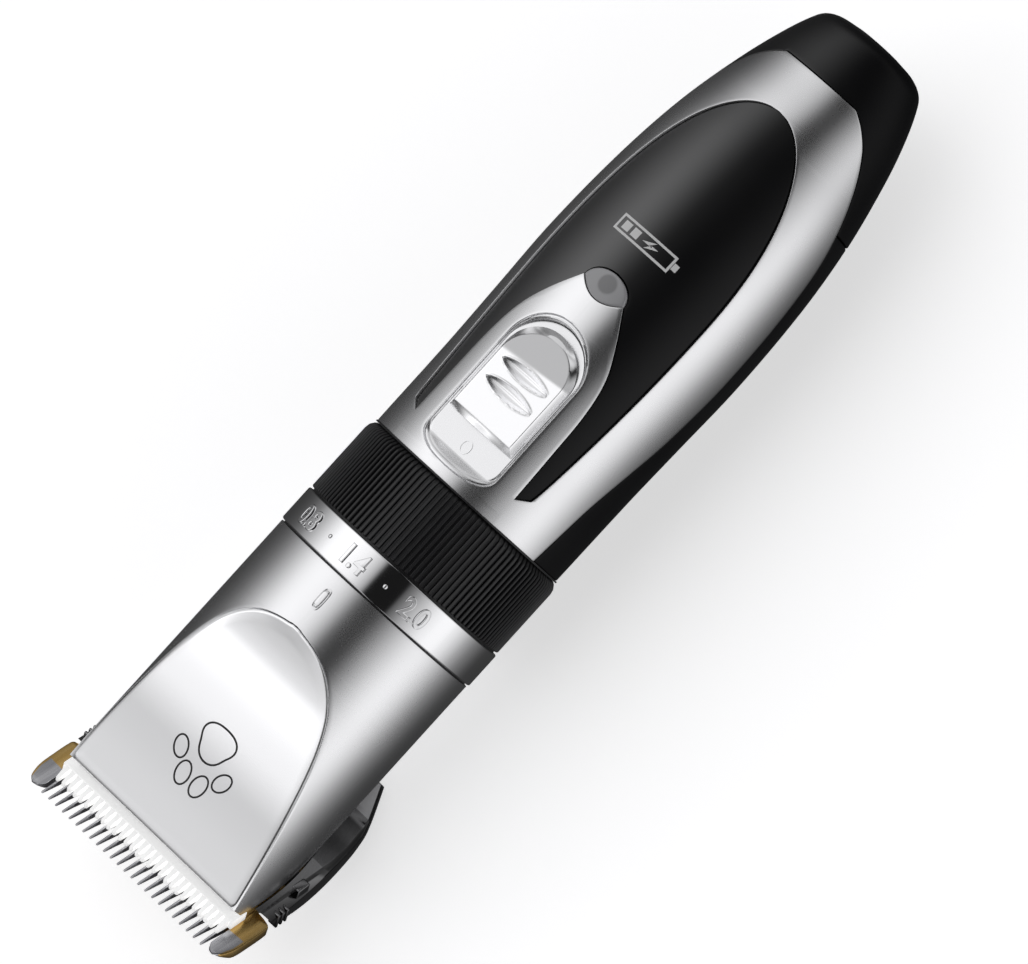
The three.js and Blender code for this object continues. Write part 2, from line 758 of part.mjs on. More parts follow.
addPart("fixed_blade", "titanium", fixedBlade(), bladeFrame);
addPart("moving_blade", "ceramic", movingBlade(), bladeFrame);
const forkBase = gap + movingBladeThickness + gap;
addPart("drive_fork", "whitePlastic", join(
  box([-5.8, 5.8], [11, 21.4], [forkBase, 5]),
  box([3.9, 5.8], [17.6, 21.4], [4.5, 12]),
  box([-5.8, -3.9], [17.6, 21.4], [4.5, 12]),
), bladeFrame);
addPart("blade_guide", "blackPlastic", join(
  box([-13.4, 13.4], [17, 22.9], [gap, 2.2]),
  box([-2.4, 2.4], [22, 22.9], [1.5, 5]),
), bladeFrame);
const springPath = [
  [-10, 21, 3],
  [-12.2, 19, 3.2],
  [-12.6, 15, 3.2],
  [-10.4, 13.2, 3.1],
  [-8.3, 15, 3.1],
  [-8.5, 20, 3.1],
];
addPart("blade_spring", "steel", wire(0.45, springPath, 16), bladeFrame);
[-1, 1].forEach((side) => {
  const x = 16.4 * side;
  const screw = join(rodAlongZ(2.3, gap, 1.7, x, 20.4), rodAlongZ(1.05, -5, 1, x, 20.4, 8));
  addPart(`blade_screw_${side < 0 ? "left" : "right"}`, "steel", screw, bladeFrame);
});

const holderStart = 9.5;
const holderStep = 20.9;
const wallTop = 0.3;
const ridgeTop = 2.3;
const ridge = [19.4, 20.4];
const holderHalf = smooth([
  [holderStart, 22.2],
  [14, 22],
  [19, 21.3],
  [25.5, 20],
  [30, 18.6],
  [34, 16.9],
  [39, 14.6],
]);
const holderBottom = smooth([
  [holderStart, -8.4],
  [14, -13.6],
  [19, -17.6],
  [24, -19.6],
  [26, -20],
  [39, -20],
]);
function holderRing(y, top) {
  const [half, bottom] = [holderHalf(y), Math.max(holderBottom(y), restLevel)];
  const ring = [];
  for (let i = 0; i <= 12; i += 1) {
    const angle = (Math.PI * i) / 12;
    const [side, down] = [Math.cos(angle), Math.sin(angle)];
    ring.push([Math.sign(side) * half * Math.abs(side) ** 0.5, y, top - (top - bottom) * down ** 0.5]);
  }
  return ring;
}
function bladeHolder() {
  const front = [holderStart, 11.5, 14, 17, 19.5, holderStep + 0.2].map((y) =>
    holderRing(y, planeHeight(y, wallTop)));
  const underBlade = -fixedBladeThickness - gap;
  const bladeSeat = profile([
    [0, planeHeight(0, underBlade)],
    [holderStep + 0.3, planeHeight(holderStep + 0.3, underBlade)],
    [holderStep + 0.3, 10],
    [0, 10],
  ], -ridge[0], ridge[0]);
  const ridgeSide = [
    [holderStart, planeHeight(holderStart, underBlade - 0.5)],
    [holderStep + 0.2, planeHeight(holderStep + 0.2, underBlade - 0.5)],
    [holderStep + 0.2, planeHeight(holderStep + 0.2, ridgeTop)],
    [holderStart, planeHeight(holderStart, ridgeTop)],
  ];
  const ridges = [profile(ridgeSide, -ridge[1], -ridge[0]), profile(ridgeSide, ridge[0], ridge[1])];
  const heelTop = housingCut - 0.4;
  const rear = [holderStep, 23, 25.5, 28, 30.6, 33, 36, hingeStation - 0.6].map((y) =>
    holderRing(y, Math.max(planeHeight(y, 1.7), heelTop)));
  const barrel = rodAlongX(hingeBarrelRadius, -12, 12, hingeStation, hingeHeight, 16);
  const hingeGap = box([-3.8, 3.8], [hingeStation - 2.6, 45], [-25, -10]);
  const pinHole = rodAlongX(1, -30, 30, hingeStation, hingeHeight);
  const wings = [-1, 1].map((side) => box(side < 0 ? [-30, -12] : [12, 30], [36.4, 45], [-25, -10]));
  const screwHoles = [-16.4, 16.4].map((x) => rodAlongZ(1.4, -3.1, 1, 0, 0).rotate([-37.6, 0, 0]).translate([
    x,
    20.4 * Math.cos(bladeTilt) - 3 * Math.sin(bladeTilt),
    bladeTipHeight - 20.4 * Math.sin(bladeTilt) - 3 * Math.cos(bladeTilt),
  ]));
  const rearTrim = box([-30, 30], [hingeStation - 1, 45], [-30, 30]);
  const body = join(cut(loft(front), bladeSeat), ...ridges, cut(loft(rear), rearTrim), barrel);
  return cut(body, hingeGap, pinHole, ...wings, ...screwHoles);
}
addPart("blade_holder", "darkChrome", bladeHolder());

// The object lies on its back, centred over its own origin.
const part = new THREE.Group();
clipper.position.set(0, -overallLength / 2, axisHeight);
part.add(clipper);

export default part;
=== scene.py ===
import math

import bmesh
import bpy
import numpy as np
from mathutils import Matrix, Vector


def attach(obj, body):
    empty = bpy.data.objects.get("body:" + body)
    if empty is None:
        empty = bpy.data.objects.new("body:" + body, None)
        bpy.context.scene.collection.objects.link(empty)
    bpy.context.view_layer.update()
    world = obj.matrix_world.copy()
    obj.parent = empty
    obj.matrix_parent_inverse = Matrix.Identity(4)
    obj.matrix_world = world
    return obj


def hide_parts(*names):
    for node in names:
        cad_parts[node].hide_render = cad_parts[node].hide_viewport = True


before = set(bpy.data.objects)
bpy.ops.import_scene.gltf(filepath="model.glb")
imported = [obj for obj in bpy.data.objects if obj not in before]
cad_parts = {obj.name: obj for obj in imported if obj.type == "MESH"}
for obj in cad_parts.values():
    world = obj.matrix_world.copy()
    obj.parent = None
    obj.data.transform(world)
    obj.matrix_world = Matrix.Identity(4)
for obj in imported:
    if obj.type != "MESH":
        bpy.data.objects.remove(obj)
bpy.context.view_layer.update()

# Stations run along Y from the blade tips, heights are from the axis of the neck, both in millimetres.
mm = 0.001
overall = dict(length=175.0, axisHeight=20.0)


def toFrame(points):
    out = np.array(points, dtype=float)
    out[..., 1] -= overall["length"] / 2
    out[..., 2] += overall["axisHeight"]
    return out * mm


# Meshes and the pieces made from them.

def newPiece(name, points, faces, body, replaces=(), material=None, smoothAngle=32):
    mesh = bpy.data.meshes.new(name)
    mesh.from_pydata([tuple(p) for p in points], [], faces)
    work = bmesh.new()
    work.from_mesh(mesh)
    bmesh.ops.remove_doubles(work, verts=work.verts, dist=2e-6)
    bmesh.ops.dissolve_degenerate(work, dist=1e-7, edges=work.edges)
    bmesh.ops.recalc_face_normals(work, faces=work.faces)
    work.to_mesh(mesh)
    work.free()
    piece = bpy.data.objects.new(name, mesh)
    bpy.context.scene.collection.objects.link(piece)
    finishPiece(piece, body, replaces, material, smoothAngle)
    return piece


def finishPiece(piece, body, replaces, material, smoothAngle=32):
    softenEdges(piece, smoothAngle)
    if material:
        piece.data.materials.clear()
        piece.data.materials.append(material)
    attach(piece, body)
    if replaces:
        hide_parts(*replaces)


def softenEdges(piece, angle):
    for polygon in piece.data.polygons:
        polygon.use_smooth = True
    piece.data.set_sharp_from_angle(angle=math.radians(angle))


def addWall(piece, thickness, bevel, segments=3, angle=40):
    wall = piece.modifiers.new("wall", "SOLIDIFY")
    wall.thickness = thickness * mm
    wall.offset = -1
    wall.use_even_offset = False
    rounding = piece.modifiers.new("rounding", "BEVEL")
    rounding.width = bevel * mm
    rounding.segments = segments
    rounding.limit_method = "ANGLE"
    rounding.angle_limit = math.radians(angle)
    rounding.use_clamp_overlap = True


def bakeModifiers(piece, smoothAngle=32):
    depsgraph = bpy.context.evaluated_depsgraph_get()
    result = bpy.data.meshes.new_from_object(piece.evaluated_get(depsgraph))
    old = piece.data
    piece.modifiers.clear()
    piece.data = result
    bpy.data.meshes.remove(old)
    softenEdges(piece, smoothAngle)


def sheetFaces(rows, columns, keep=None):
    faces = []
    for r in range(rows - 1):
        for c in range(columns - 1):
            if keep is None or keep[r][c]:
                a = r * columns + c
                faces.append((a, a + 1, a + columns + 1, a + columns))
    return faces


def mirrored(points, faces):
    other = np.array(points)
    other[:, 0] *= -1
    count = len(points)
    flipped = [tuple(reversed([i + count for i in face])) for face in faces]
    return np.vstack([points, other]), list(faces) + flipped


def ringFaces(loops, count, capStart=True, capEnd=True):
    faces = []
    for r in range(loops - 1):
        for c in range(count):
            d = (c + 1) % count
            faces.append((r * count + c, r * count + d, (r + 1) * count + d, (r + 1) * count + c))
    if capStart:
        faces.append(tuple(reversed(range(count))))
    if capEnd:
        faces.append(tuple(range((loops - 1) * count, loops * count)))
    return faces


# A closed solid of revolution about Y from [radius, station] pairs that close on themselves.
def turnedPoints(section, sides):
    points = []
    for radius, station in section:
        for i in range(sides):
            angle = 2 * math.pi * i / sides
            points.append((radius * math.sin(angle), station, radius * math.cos(angle)))
    count = len(section)
    faces = []
    for r in range(count):
        for c in range(sides):
            d = (c + 1) % sides
            n = (r + 1) % count
            faces.append((r * sides + c, n * sides + c, n * sides + d, r * sides + d))
    return np.array(points), faces


# A smooth curve through [station, value] pairs, level beyond its ends.
def smoothCurve(pairs):
    knots = np.array(pairs, dtype=float)
    x, y = knots[:, 0], knots[:, 1]
    slope = np.empty(len(x))
    slope[1:-1] = (y[2:] - y[:-2]) / (x[2:] - x[:-2])
    slope[0] = (y[1] - y[0]) / (x[1] - x[0])
    slope[-1] = (y[-1] - y[-2]) / (x[-1] - x[-2])

    def value(station):
        s = np.clip(station, x[0], x[-1])
        i = np.clip(np.searchsorted(x, s, side="right") - 1, 0, len(x) - 2)
        step = x[i + 1] - x[i]
        t = (s - x[i]) / step
        start = (1 + 2 * t) * (1 - t) ** 2 * y[i] + t * (1 - t) ** 2 * step * slope[i]
        return start + t * t * (3 - 2 * t) * y[i + 1] - t * t * (1 - t) * step * slope[i + 1]

    return value


def spread(*stops):
    # stations at an even step between each pair of stops: (from, to, step) groups
    values = []
    for start, end, step in stops:
        count = max(1, int(round((end - start) / step)))
        values.extend(np.linspace(start, end, count + 1))
    return np.array(sorted({round(v, 4) for v in values}))


# Shader maths and the nodes that finishes share.

class Signal:
    # a socket whose operators add Math nodes
    def __init__(self, shader, socket):
        self.shader, self.socket = shader, socket

    def maths(self, operation, *values):
        return self.shader.node("ShaderNodeMath", dict(operation=operation), dict(enumerate(values)))

    def __add__(self, other):
        return self.maths("ADD", self, other)

    def __radd__(self, other):
        return self.maths("ADD", other, self)

    def __sub__(self, other):
        return self.maths("SUBTRACT", self, other)

    def __rsub__(self, other):
        return self.maths("SUBTRACT", other, self)

    def __mul__(self, other):
        return self.maths("MULTIPLY", self, other)

    def __rmul__(self, other):
        return self.maths("MULTIPLY", other, self)

    def __truediv__(self, other):
        return self.maths("DIVIDE", self, other)

    def __pow__(self, other):
        return self.maths("POWER", self, other)

    def step(self, low, high):
        # 0 below low, 1 above high, smooth between
        return self.shader.node(
            "ShaderNodeMapRange", dict(interpolation_type="SMOOTHSTEP"),
            {"Value": self, "From Min": low, "From Max": high})


class Finish:
    # a material and the few kinds of node that the finishes share
    def __init__(self, name, **constants):
        self.material = bpy.data.materials.new(name)
        self.material.use_nodes = True
        self.tree = self.material.node_tree
        self.shader = self.tree.nodes["Principled BSDF"]
        for key, value in constants.items():
            self.shader.inputs[key.replace("_", " ")].default_value = value
        self.position = self.node("ShaderNodeTexCoord", {}, {}, "Object")

    def node(self, kind, settings, inputs, output=0):
        made = self.tree.nodes.new(kind)
        for key, value in settings.items():
            setattr(made, key, value)
        for key, value in inputs.items():
            if isinstance(value, Signal):
                self.tree.links.new(value.socket, made.inputs[key])
            elif value is not None:
                made.inputs[key].default_value = value
        return Signal(self, made.outputs[output])

    def axis(self, name):
        return self.node("ShaderNodeSeparateXYZ", {}, {0: self.position}, name)

    def noise(self, scale, detail=2.0, stretch=(1, 1, 1), roughness=0.5):
        place = self.node("ShaderNodeMapping", {}, {"Vector": self.position, "Scale": stretch})
        return self.node("ShaderNodeTexNoise", {}, {
            "Vector": place, "Scale": scale, "Detail": detail, "Roughness": roughness})

    def mix(self, amount, first, second):
        return self.node("ShaderNodeMix", dict(data_type="RGBA"), {
            0: amount, 6: first, 7: second}, 2)

    def bump(self, height, distance, strength=1.0):
        return self.node("ShaderNodeBump", {}, {
            "Height": height, "Distance": distance * mm, "Strength": strength})

    def feed(self, **signals):
        for key, value in signals.items():
            self.tree.links.new(value.socket, self.shader.inputs[key.replace("_", " ")])
        return self.material


def grey(level):
    return (level, level, level * 1.01, 1)


satinGrain = 0.0002


def satinMetal(name, light, dark, roughness):
    finish = Finish(name, Metallic=1.0)
    cloud = finish.noise(60, 3)
    fine = finish.noise(2600, 2)
    rough = roughness + (cloud - 0.5) * 0.04 + (fine - 0.5) * 0.02
    return finish.feed(
        Base_Color=finish.mix(cloud.step(0.3, 0.7), grey(dark), grey(light)),
        Roughness=rough,
        Normal=finish.bump(fine, satinGrain, 0.5))


def mouldedPlastic(name, light, dark, roughness, grain=0.01, grainScale=1900, coat=0.0, glow=0.0):
    finish = Finish(name, Coat_Weight=coat, Coat_Roughness=0.2, Emission_Strength=glow,
                    Emission_Color=(1, 1, 1, 1))
    cloud = finish.noise(45, 3)
    spark = finish.noise(grainScale, 3)
    return finish.feed(
        Base_Color=finish.mix(cloud.step(0.3, 0.7), dark, light),
        Roughness=roughness + (cloud - 0.5) * 0.06 + (spark - 0.5) * 0.08,
        Normal=finish.bump(spark, grain, 0.6))


def plasticWithPaintedSheen(name, light, dark, coatIndex, roughness, side):
    # near-black plastic with a painted sheen: its coat is stronger on one flank to stand in for light
    # falling on that side; side is (matt X, X where the painted sheen is full)
    finish = Finish(name, Specular_IOR_Level=0.08, Coat_Roughness=roughness, Coat_IOR=coatIndex)
    cloud = finish.noise(45, 3)
    spark = finish.noise(2100, 3)
    # painted sheen: the coat weight rises from the matt X to full on the other flank
    paintedSheen = (finish.axis("X") * -1).step(-side[0] * mm, -side[1] * mm)
    return finish.feed(
        Base_Color=finish.mix(cloud.step(0.3, 0.7), dark, light),
        Roughness=0.4 + (cloud - 0.5) * 0.06 + (spark - 0.5) * 0.08,
        Coat_Weight=0.1 + paintedSheen * 0.9,
        Normal=finish.bump(spark, 0.006, 0.5))


def groundMetal(name, light, dark, roughness, stretch, grain=0.006):
    # metal with the fine parallel lines that a grinding wheel leaves
    finish = Finish(name, Metallic=1.0)
    lines = finish.noise(900, 4, stretch)
    cloud = finish.noise(80, 2)
    return finish.feed(
        Base_Color=finish.mix(lines.step(0.25, 0.75), dark, light),
        Roughness=roughness + (lines - 0.5) * 0.12 + (cloud - 0.5) * 0.05,
        Normal=finish.bump(lines, grain, 0.6))


# Shapes that repeat along a line or around the axis.

def repeatTree(name, around):
    # copies of the incoming mesh, a step apart along a line or turned by a step about Y
    tree = bpy.data.node_groups.new(name, "GeometryNodeTree")
    face = tree.interface
    face.new_socket("Geometry", in_out="INPUT", socket_type="NodeSocketGeometry")
    face.new_socket("Count", in_out="INPUT", socket_type="NodeSocketInt")
    face.new_socket("Step", in_out="INPUT", socket_type="NodeSocketVector")
    face.new_socket("Finish", in_out="INPUT", socket_type="NodeSocketMaterial")
    face.new_socket("Geometry", in_out="OUTPUT", socket_type="NodeSocketGeometry")
    add = tree.nodes.new
    link = tree.links.new
    start, end = add("NodeGroupInput"), add("NodeGroupOutput")
    line, copies = add("GeometryNodeMeshLine"), add("GeometryNodeInstanceOnPoints")
    real, paint = add("GeometryNodeRealizeInstances"), add("GeometryNodeSetMaterial")
    link(start.outputs["Count"], line.inputs["Count"])
    if around:
        index, turn = add("GeometryNodeInputIndex"), add("ShaderNodeVectorMath")
        turn.operation = "SCALE"
        link(start.outputs["Step"], turn.inputs[0])
        link(index.outputs[0], turn.inputs["Scale"])
        line.inputs["Offset"].default_value = (0, 0, 0)
        link(turn.outputs[0], copies.inputs["Rotation"])
    else:
        link(start.outputs["Step"], line.inputs["Offset"])
    link(line.outputs[0], copies.inputs["Points"])
    link(start.outputs["Geometry"], copies.inputs["Instance"])
    link(copies.outputs[0], real.inputs[0])
    link(real.outputs[0], paint.inputs["Geometry"])
    link(start.outputs["Finish"], paint.inputs["Material"])
    link(paint.outputs[0], end.inputs[0])
    return tree


repeatAlong = repeatTree("repeatAlong", False)
repeatAround = repeatTree("repeatAround", True)


def repeated(points, faces, tree, count, step, material):
    # the mesh of all the copies
    mesh = bpy.data.meshes.new("pattern")
    mesh.from_pydata([tuple(p) for p in points], [], faces)
    holder = bpy.data.objects.new("pattern", mesh)
    bpy.context.scene.collection.objects.link(holder)
    modifier = holder.modifiers.new("repeat", "NODES")
    modifier.node_group = tree
    values = dict(Count=count, Step=step, Finish=material)
    for item in tree.interface.items_tree:
        if item.in_out == "INPUT" and item.name in values:
            modifier[item.identifier] = values[item.name]
    depsgraph = bpy.context.evaluated_depsgraph_get()
    result = bpy.data.meshes.new_from_object(holder.evaluated_get(depsgraph))
    bpy.data.objects.remove(holder)
    return result


def joinMeshes(name, meshes):
    work = bmesh.new()
    for mesh in meshes:
        work.from_mesh(mesh)
    bmesh.ops.recalc_face_normals(work, faces=work.faces)
    joined = bpy.data.meshes.new(name)
    work.to_mesh(joined)
    work.free()
    piece = bpy.data.objects.new(name, joined)
    bpy.context.scene.collection.objects.link(piece)
    return piece


def rawMesh(points, faces):
    mesh = bpy.data.meshes.new("raw")
    mesh.from_pydata([tuple(p) for p in points], [], faces)
    return mesh


# Finishes of the clipper.
satinChrome = satinMetal("satinChrome", 0.86, 0.82, 0.27)
dialChrome = satinMetal("dialChrome", 0.88, 0.85, 0.08)
darkChrome = satinMetal("darkChrome", 0.26, 0.2, 0.16)
innerSteel = groundMetal("innerSteel", (0.62, 0.63, 0.65, 1), (0.48, 0.49, 0.51, 1), 0.3, (0.15, 1, 1))
jetLight, jetDark = (0.005, 0.005, 0.0055, 1), (0.003, 0.003, 0.0035, 1)
# both blacks carry the painted sheen, full on their -X flank
blackSatin = plasticWithPaintedSheen("blackSatin", jetLight, jetDark, 1.5, 0.3, (4, -4))
insetBlack = plasticWithPaintedSheen("insetBlack", jetLight, jetDark, 2.0, 0.36, (3, -6))
gripBlack = mouldedPlastic("gripBlack", (0.016, 0.016, 0.017, 1), (0.008, 0.008, 0.009, 1), 0.42, 0.012)
whiteAcetal = mouldedPlastic("whiteAcetal", (0.8, 0.8, 0.77, 1), (0.72, 0.72, 0.7, 1), 0.4, 0.01)
greyNylon = mouldedPlastic("greyNylon", (0.3, 0.3, 0.31, 1), (0.24, 0.24, 0.25, 1), 0.45, 0.01)
boardGreen = mouldedPlastic("boardGreen", (0.02, 0.12, 0.05, 1), (0.012, 0.08, 0.035, 1), 0.35, 0.01)
cellBlue = mouldedPlastic("cellBlue", (0.03, 0.13, 0.28, 1), (0.02, 0.1, 0.22, 1), 0.25, 0.004)
wireRed = mouldedPlastic("wireRed", (0.4, 0.03, 0.02, 1), (0.3, 0.02, 0.015, 1), 0.4, 0.01)
contactBrass = groundMetal("contactBrass", (0.6, 0.42, 0.16, 1), (0.5, 0.34, 0.12, 1), 0.3, (1, 0.15, 1))
# the ceramic is given a glow: painted light that lifts the teeth toward white
ceramicWhite = mouldedPlastic("ceramicWhite", (0.96, 0.96, 0.95, 1), (0.92, 0.92, 0.91, 1), 0.3, 0.002, 2400,
                              coat=0.3, glow=0.4)
inkBlack = mouldedPlastic("inkBlack", (0.006, 0.006, 0.006, 1), (0.003, 0.003, 0.003, 1), 0.5, 0.002)
inkWhite = mouldedPlastic("inkWhite", (0.8, 0.8, 0.8, 1), (0.7, 0.7, 0.7, 1), 0.45, 0.002)


def bladeFinish(tilt, tipHeight, groundDepth, rim, rimStart):
    # titanium gold plate whose front is ground back to bare steel
    finish = Finish("titaniumBlade", Metallic=1.0)
    lines = finish.noise(1100, 4, (1, 0.08, 0.08))
    cloud = finish.noise(90, 3)
    tail = finish.axis("Y") + overall["length"] / 2 * mm
    height = finish.axis("Z") - (overall["axisHeight"] + tipHeight) * mm
    depth = tail * math.cos(tilt) - height * math.sin(tilt)
    gold = (depth + (cloud - 0.5) * 0.0012).step(groundDepth * mm, (groundDepth + 0.25) * mm)
    side = finish.axis("X")
    ahead = rimStart * mm - depth
    reach = side.maths("ABSOLUTE", side) + ahead.maths("MAXIMUM", ahead, 0) * 0.25
    gold = gold.maths("MAXIMUM", gold, reach.step(rim * mm, (rim + 0.2) * mm))
    goldShade = finish.mix(lines.step(0.3, 0.7), (0.62, 0.4, 0.13, 1), (0.76, 0.52, 0.2, 1))
    steelShade = finish.mix(lines.step(0.3, 0.7), (0.42, 0.42, 0.44, 1), (0.6, 0.6, 0.62, 1))
    return finish.feed(
        Base_Color=finish.mix(gold, steelShade, goldShade),
        Roughness=0.26 + (lines - 0.5) * 0.14,
        Normal=finish.bump(lines, 0.006, 0.5))


def plateWithPaintedShade(start, full):
    # pearl lacquer with painted shade: darker toward the blade, full brightness from station full; start and
    # full are stations in millimetres
    finish = Finish("plateSilver", Metallic=0.96)
    fine = finish.noise(2600, 2)
    station = finish.axis("Y") + overall["length"] / 2 * mm
    return finish.feed(
        # painted shade: grey 0.63 below start, rising to 0.98 by full
        Base_Color=finish.mix(station.step(start * mm, full * mm), grey(0.63), grey(0.98)),
        Roughness=0.25 + (fine - 0.5) * 0.02,
        Normal=finish.bump(fine, 0.001, 0.5))


def buttonWithPaintedShade(crease, lean):
    # satin chrome with painted shade: darker on the sloping tail beyond the crease
    finish = Finish("buttonChrome", Metallic=1.0)
    fine = finish.noise(2600, 2)
    station = finish.axis("Y") + overall["length"] / 2 * mm - finish.axis("X") * lean
    return finish.feed(
        # painted shade: grey 0.6 beyond the crease, which leans with X
        Base_Color=finish.mix(station.step((crease - 0.1) * mm, (crease + 0.5) * mm), grey(0.98), grey(0.6)),
        Roughness=0.26 + (fine - 0.5) * 0.02,
        Normal=finish.bump(fine, satinGrain, 0.5))


def lensFinish(middle, spotRadius):
    # smoky translucent plastic over a darker round lamp
    finish = Finish("smokyLens", Coat_Weight=1.0, Coat_Roughness=0.06)
    across = finish.axis("X") - middle[0]
    along = finish.axis("Y") - middle[1]
    away = (across * across + along * along) ** 0.5
    spot = away.step(spotRadius * 0.8, spotRadius * 1.15)
    fine = finish.noise(1500, 2)
    return finish.feed(
        Base_Color=finish.mix(spot, (0.16, 0.16, 0.165, 1), (0.33, 0.33, 0.34, 1)),
        Roughness=0.3 + (fine - 0.5) * 0.06,
        Normal=finish.bump(fine, 0.003, 0.4))


print("finishes done")


# The handle: its width, front and back heights at stations, and the edge of the silver frame.
handle = dict(
    start=78.8, tailSeam=147.9, frameEnd=164.3, wall=1.6, rounding=0.6, seam=0.18,
    halfWidth=[(78.8, 18.9), (95, 18.9), (107, 19.2), (120, 19.55), (135, 19.0), (147.9, 17.6),
               (160, 15.1), (167, 13.0), (172, 10.9), (173.6, 9.6), (174.6, 7.4), (175, 4.6)],
    top=[(78.8, 19.1), (100, 19.4), (120, 19.3), (135, 18.4), (147.9, 16.5), (156, 14.2),
         (164, 11.2), (172, 8.7), (174.2, 6.8), (175, 3.8)],
    depth=[(78.8, 19.1), (95, 20.4), (135, 20.6), (147.9, 18.6), (160, 15.6), (168, 13.2),
           (173, 10.8), (174.4, 8.6), (175, 5.4)],
    frameAngle=[(78.8, 67), (84, 69), (91, 72), (98.5, 77), (107, 82), (120, 84), (140, 82.5),
                (147.9, 77), (155, 67), (160, 55), (162.8, 43), (164.3, 33)])
handleWidth = smoothCurve(handle["halfWidth"])
handleTop = smoothCurve(handle["top"])
handleDepth = smoothCurve(handle["depth"])
frameAngle = smoothCurve(handle["frameAngle"])


def onHandle(angle, station, inset=0.0):
    angle, station, inset = np.broadcast_arrays(angle, station, inset)
    up = np.cos(angle)
    reach = np.where(up > 0, handleTop(station), handleDepth(station)) - inset
    height = np.maximum(up * reach, inset - overall["axisHeight"])
    return np.stack([np.sin(angle) * (handleWidth(station) - inset), station, height], axis=-1)


def handleHeight(x, station, inset=0.0):
    ratio = np.clip(np.abs(x) / (handleWidth(station) - inset), 0, 1)
    return np.sqrt(1 - ratio ** 2) * (handleTop(station) - inset)


def toAngle(x, station):
    return np.arcsin(np.clip(x / handleWidth(station), 0, 1))


inset = dict(start=83.9, widest=119.0, apex=156.1, half=14.75, flare=1.75, gap=0.16, lowered=0.42, slant=1.5)
tongue = dict(lensCorner=117.1, lensTip=120.3, lensHalf=4.3, lensStart=115.1,
              half=[(84.2, 11.0), (93, 10.8), (101, 10.5), (107, 9.5), (112, 7.3), (117.1, 4.3)])
recess = dict(start=80.6, square=84.4, arch=102.5, end=110.1, half=7.6, floor=17.3, floorStart=83.1,
              apron=0.8)
tongueCurve = smoothCurve(tongue["half"])


def insetHalf(y):
    before = inset["half"] - inset["flare"] * (np.clip(inset["widest"] - y, 0, None) / 34) ** 1.7
    over = np.clip((y - inset["widest"]) / (inset["apex"] - inset["widest"]), 0, 1)
    return np.where(y < inset["widest"], before, inset["half"] * np.sqrt(1 - over ** 2.5))


def tongueHalf(y):
    over = np.clip((y - tongue["lensCorner"]) / (tongue["lensTip"] - tongue["lensCorner"]), 0, 1)
    return np.where(y < tongue["lensCorner"], tongueCurve(y), tongue["lensHalf"] * np.sqrt(1 - over ** 2))


def recessHalf(y):
    low = np.clip((recess["square"] - y) / (recess["square"] - recess["start"]), 0, 1)
    high = np.clip((y - recess["arch"]) / (recess["end"] - recess["arch"]), 0, 1)
    return recess["half"] * (1 - low ** 2.4) ** (1 / 2.4) * np.sqrt(1 - high ** 2)


def slanted(y, share):
    # the panel's two legs end on a slant
    near = np.clip(1 - np.abs(y - inset["start"]) / 6, 0, 1)
    return y + inset["slant"] * np.clip(share, 0, 1) * near ** 2


def lensBite(x, y):
    near = np.clip((y - 112) / (tongue["lensCorner"] - 112), 0, 1) ** 2
    sag = tongue["lensCorner"] - tongue["lensStart"]
    return y - sag * near * np.clip(1 - (x / tongue["lensHalf"]) ** 2, 0, 1)


def makeFrontFrame():
    rows = spread((78.8, 80.6, 0.6), (80.6, 81.6, 0.1), (81.6, 83.9, 0.4), (83.9, 107.6, 0.79),
                  (107.6, 110.1, 0.16), (110.1, 117.1, 0.5), (117.1, 119.4, 0.3), (119.4, 120.3, 0.1),
                  (120.3, 153, 0.9), (153, inset["apex"], 0.16), (inset["apex"], handle["frameEnd"], 0.6))
    counts = (12, 6, 6, 20)
    shares = [np.linspace(0, 1, n + 1)[1 if i else 0:] for i, n in enumerate(counts)]
    grid, region = [], []
    for i, share in enumerate(shares):
        region += [i] * counts[i]
    for y in rows:
        edges = np.array([0, recessHalf(y), max(tongueHalf(y), recessHalf(y)), insetHalf(y)])
        if y > tongue["lensTip"]:
            edges[1:3] = 0
        if y > inset["apex"]:
            edges[1:] = 0
        if y < 84.2:
            edges[2] = tongueCurve(84.2)
        angles = np.append(toAngle(edges, y), math.radians(frameAngle(y)))
        line, slantShare = [], []
        for i, share in enumerate(shares):
            line.extend(angles[i] + (angles[i + 1] - angles[i]) * share)
            slantShare.extend({2: share, 3: 1 - share}.get(i, share * 0))
        line = np.array(line)
        along = slanted(y, np.array(slantShare))
        x = np.sin(line) * handleWidth(y)
        inTongue = x <= edges[2] + 0.01
        along = np.where(inTongue & (y <= tongue["lensCorner"]), lensBite(x, along), along)
        grid.append(onHandle(line, along))
    keep = []
    for low, high in zip(rows[:-1], rows[1:]):
        middle = (low + high) / 2
        inRecess = recess["start"] < middle < recess["end"]
        inLens = middle > tongue["lensCorner"]
        inPanel = inset["start"] < middle < inset["apex"]
        gone = {0: inRecess or (inLens and inPanel), 1: inLens and inPanel, 2: inPanel, 3: False}
        keep.append([not gone[r] for r in region])
    points = toFrame(np.array(grid).reshape(-1, 3))
    faces = sheetFaces(len(rows), len(region) + 1, keep)
    points, faces = mirrored(points, faces)
    return newSheet("silver_frame", points, faces, "handle", handle["wall"], handle["rounding"],
                    ("front_casing",), satinChrome)


